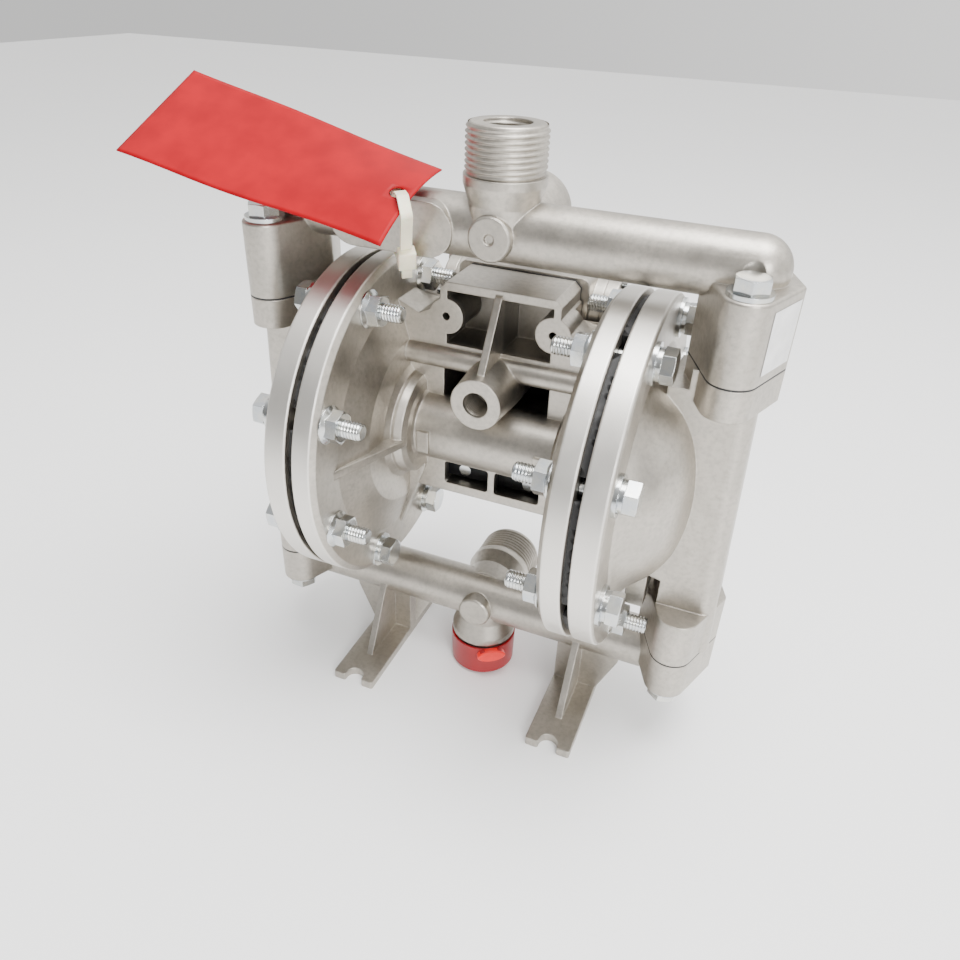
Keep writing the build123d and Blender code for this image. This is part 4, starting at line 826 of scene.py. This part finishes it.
class PUMP_OT_stage(bpy.types.Operator):
    """Adds the floor, the soft light and the camera"""
    bl_idname = "pump.stage"
    bl_label = "Stage"

    def execute(self, context):
        settings = context.scene.pump_stage
        shade = Shader("table_top")
        cloud = shade.noise(0.5, 3, 0.5)
        colour = shade.mix(shade.ramp(cloud, 0.3, 0.7), darker(settings.floor, 0.98), settings.floor)
        normal = shade.bump(shade.noise(0.002, 2, 0.5), 0.03, 0.0002)
        material = shade.finish(colour, 0.35, 0.0, normal)
        corners = [(x * FLOOR_HALF, y * FLOOR_HALF, 0) for x, y in ((-1, -1), (1, -1), (1, 1), (-1, 1))]
        floor = new_piece("floor", corners, [(0, 1, 2, 3)], material, body=None, smooth=False)
        world = bpy.data.worlds.new("studio")
        world.use_nodes = True
        self.sky(world.node_tree, settings.light)
        context.scene.world = world
        for name, place, target, size, power in LAMPS:
            self.lamp(name, place, target, size, power * settings.light)
        self.camera(settings)
        return {"FINISHED"}

    def sky(self, tree, light):
        """White room, brightest overhead and behind the pump, dim on the side of the camera."""
        background = tree.nodes["Background"]
        background.inputs["Color"].default_value = (*ROOM_WHITE, 1)
        place = tree.nodes.new("ShaderNodeTexCoord")
        split = tree.nodes.new("ShaderNodeSeparateXYZ")
        tree.links.new(place.outputs["Generated"], split.inputs[0])
        shares = []
        for axis, low, high, start, end in SKY:
            share = tree.nodes.new("ShaderNodeMapRange")
            share.interpolation_type = "SMOOTHSTEP"
            for name, value in (("From Min", low), ("From Max", high), ("To Min", start), ("To Max", end)):
                share.inputs[name].default_value = value
            tree.links.new(split.outputs[axis], share.inputs["Value"])
            shares.append(share)
        total = None
        for share in shares:
            product = tree.nodes.new("ShaderNodeMath")
            product.operation = "MULTIPLY"
            product.inputs[1].default_value = light
            tree.links.new(share.outputs["Result"], product.inputs[0])
            if total:
                tree.links.new(total, product.inputs[1])
            total = product.outputs[0]
        tree.links.new(total, background.inputs["Strength"])

    def lamp(self, name, place, target, size, power):
        data = bpy.data.lights.new(name, "AREA")
        data.size = size
        data.energy = power
        lamp = bpy.data.objects.new(name, data)
        lamp.location = place
        lamp.rotation_mode = "QUATERNION"
        lamp.rotation_quaternion = (Vector(target) - Vector(place)).to_track_quat("-Z", "Y")
        bpy.context.scene.collection.objects.link(lamp)

    def camera(self, settings):
        data = bpy.data.cameras.new("camera")
        data.sensor_width = SENSOR_WIDTH
        data.lens = settings.lens
        data.clip_start = 0.01
        camera = bpy.data.objects.new("camera", data)
        azimuth, elevation, roll = (math.radians(a) for a in CAMERA_TURN)
        forward = Vector((-math.sin(azimuth) * math.cos(elevation), math.cos(azimuth) * math.cos(elevation),
                          -math.sin(elevation)))
        right = forward.cross(Vector((0, 0, 1))).normalized()
        up = right.cross(forward)
        tilted = right * math.cos(roll) + up * math.sin(roll)
        raised = up * math.cos(roll) - right * math.sin(roll)
        turned = Matrix((tilted, raised, -forward)).transposed()
        camera.matrix_world = Matrix.Translation(CAMERA_PLACE) @ turned.to_4x4()
        bpy.context.scene.collection.objects.link(camera)
        bpy.context.scene.camera = camera


class PUMP_PT_panel(bpy.types.Panel):
    """Lists the pump's pieces and sizes"""
    bl_idname = "PUMP_PT_panel"
    bl_label = "Diaphragm pump"
    bl_space_type = "VIEW_3D"
    bl_region_type = "UI"
    bl_category = "Pump"

    def draw(self, context):
        for name in ("pump_casting", "pump_threads", "pump_trim", "pump_stage"):
            group = getattr(context.scene, name)
            column = self.layout.column()
            for key in group.__annotations__:
                column.prop(group, key)
        for operator in OPERATORS:
            self.layout.operator(operator.bl_idname)


OPERATORS = (
    PUMP_OT_castings,
    PUMP_OT_fasteners,
    PUMP_OT_inner_parts,
    PUMP_OT_bolt_threads,
    PUMP_OT_port_threads,
    PUMP_OT_diaphragms,
    PUMP_OT_dish_ribs,
    PUMP_OT_plug_cap,
    PUMP_OT_tag,
    PUMP_OT_tie,
    PUMP_OT_label,
    PUMP_OT_stage,
)
GROUPS = {
    "pump_casting": PumpCastingSettings,
    "pump_threads": PumpThreadSettings,
    "pump_trim": PumpTrimSettings,
    "pump_stage": PumpStageSettings,
}


def register():
    for name, group in GROUPS.items():
        bpy.utils.register_class(group)
        setattr(bpy.types.Scene, name, PointerProperty(type=group))
    for operator in OPERATORS:
        bpy.utils.register_class(operator)
    bpy.utils.register_class(PUMP_PT_panel)


def unregister():
    bpy.utils.unregister_class(PUMP_PT_panel)
    for operator in reversed(OPERATORS):
        bpy.utils.unregister_class(operator)
    for name, group in GROUPS.items():
        delattr(bpy.types.Scene, name)
        bpy.utils.unregister_class(group)


def main():
    register()
    for operator in OPERATORS:
        category, name = operator.bl_idname.split(".")
        getattr(getattr(bpy.ops, category), name)()


if __name__ == "__main__":
    main()
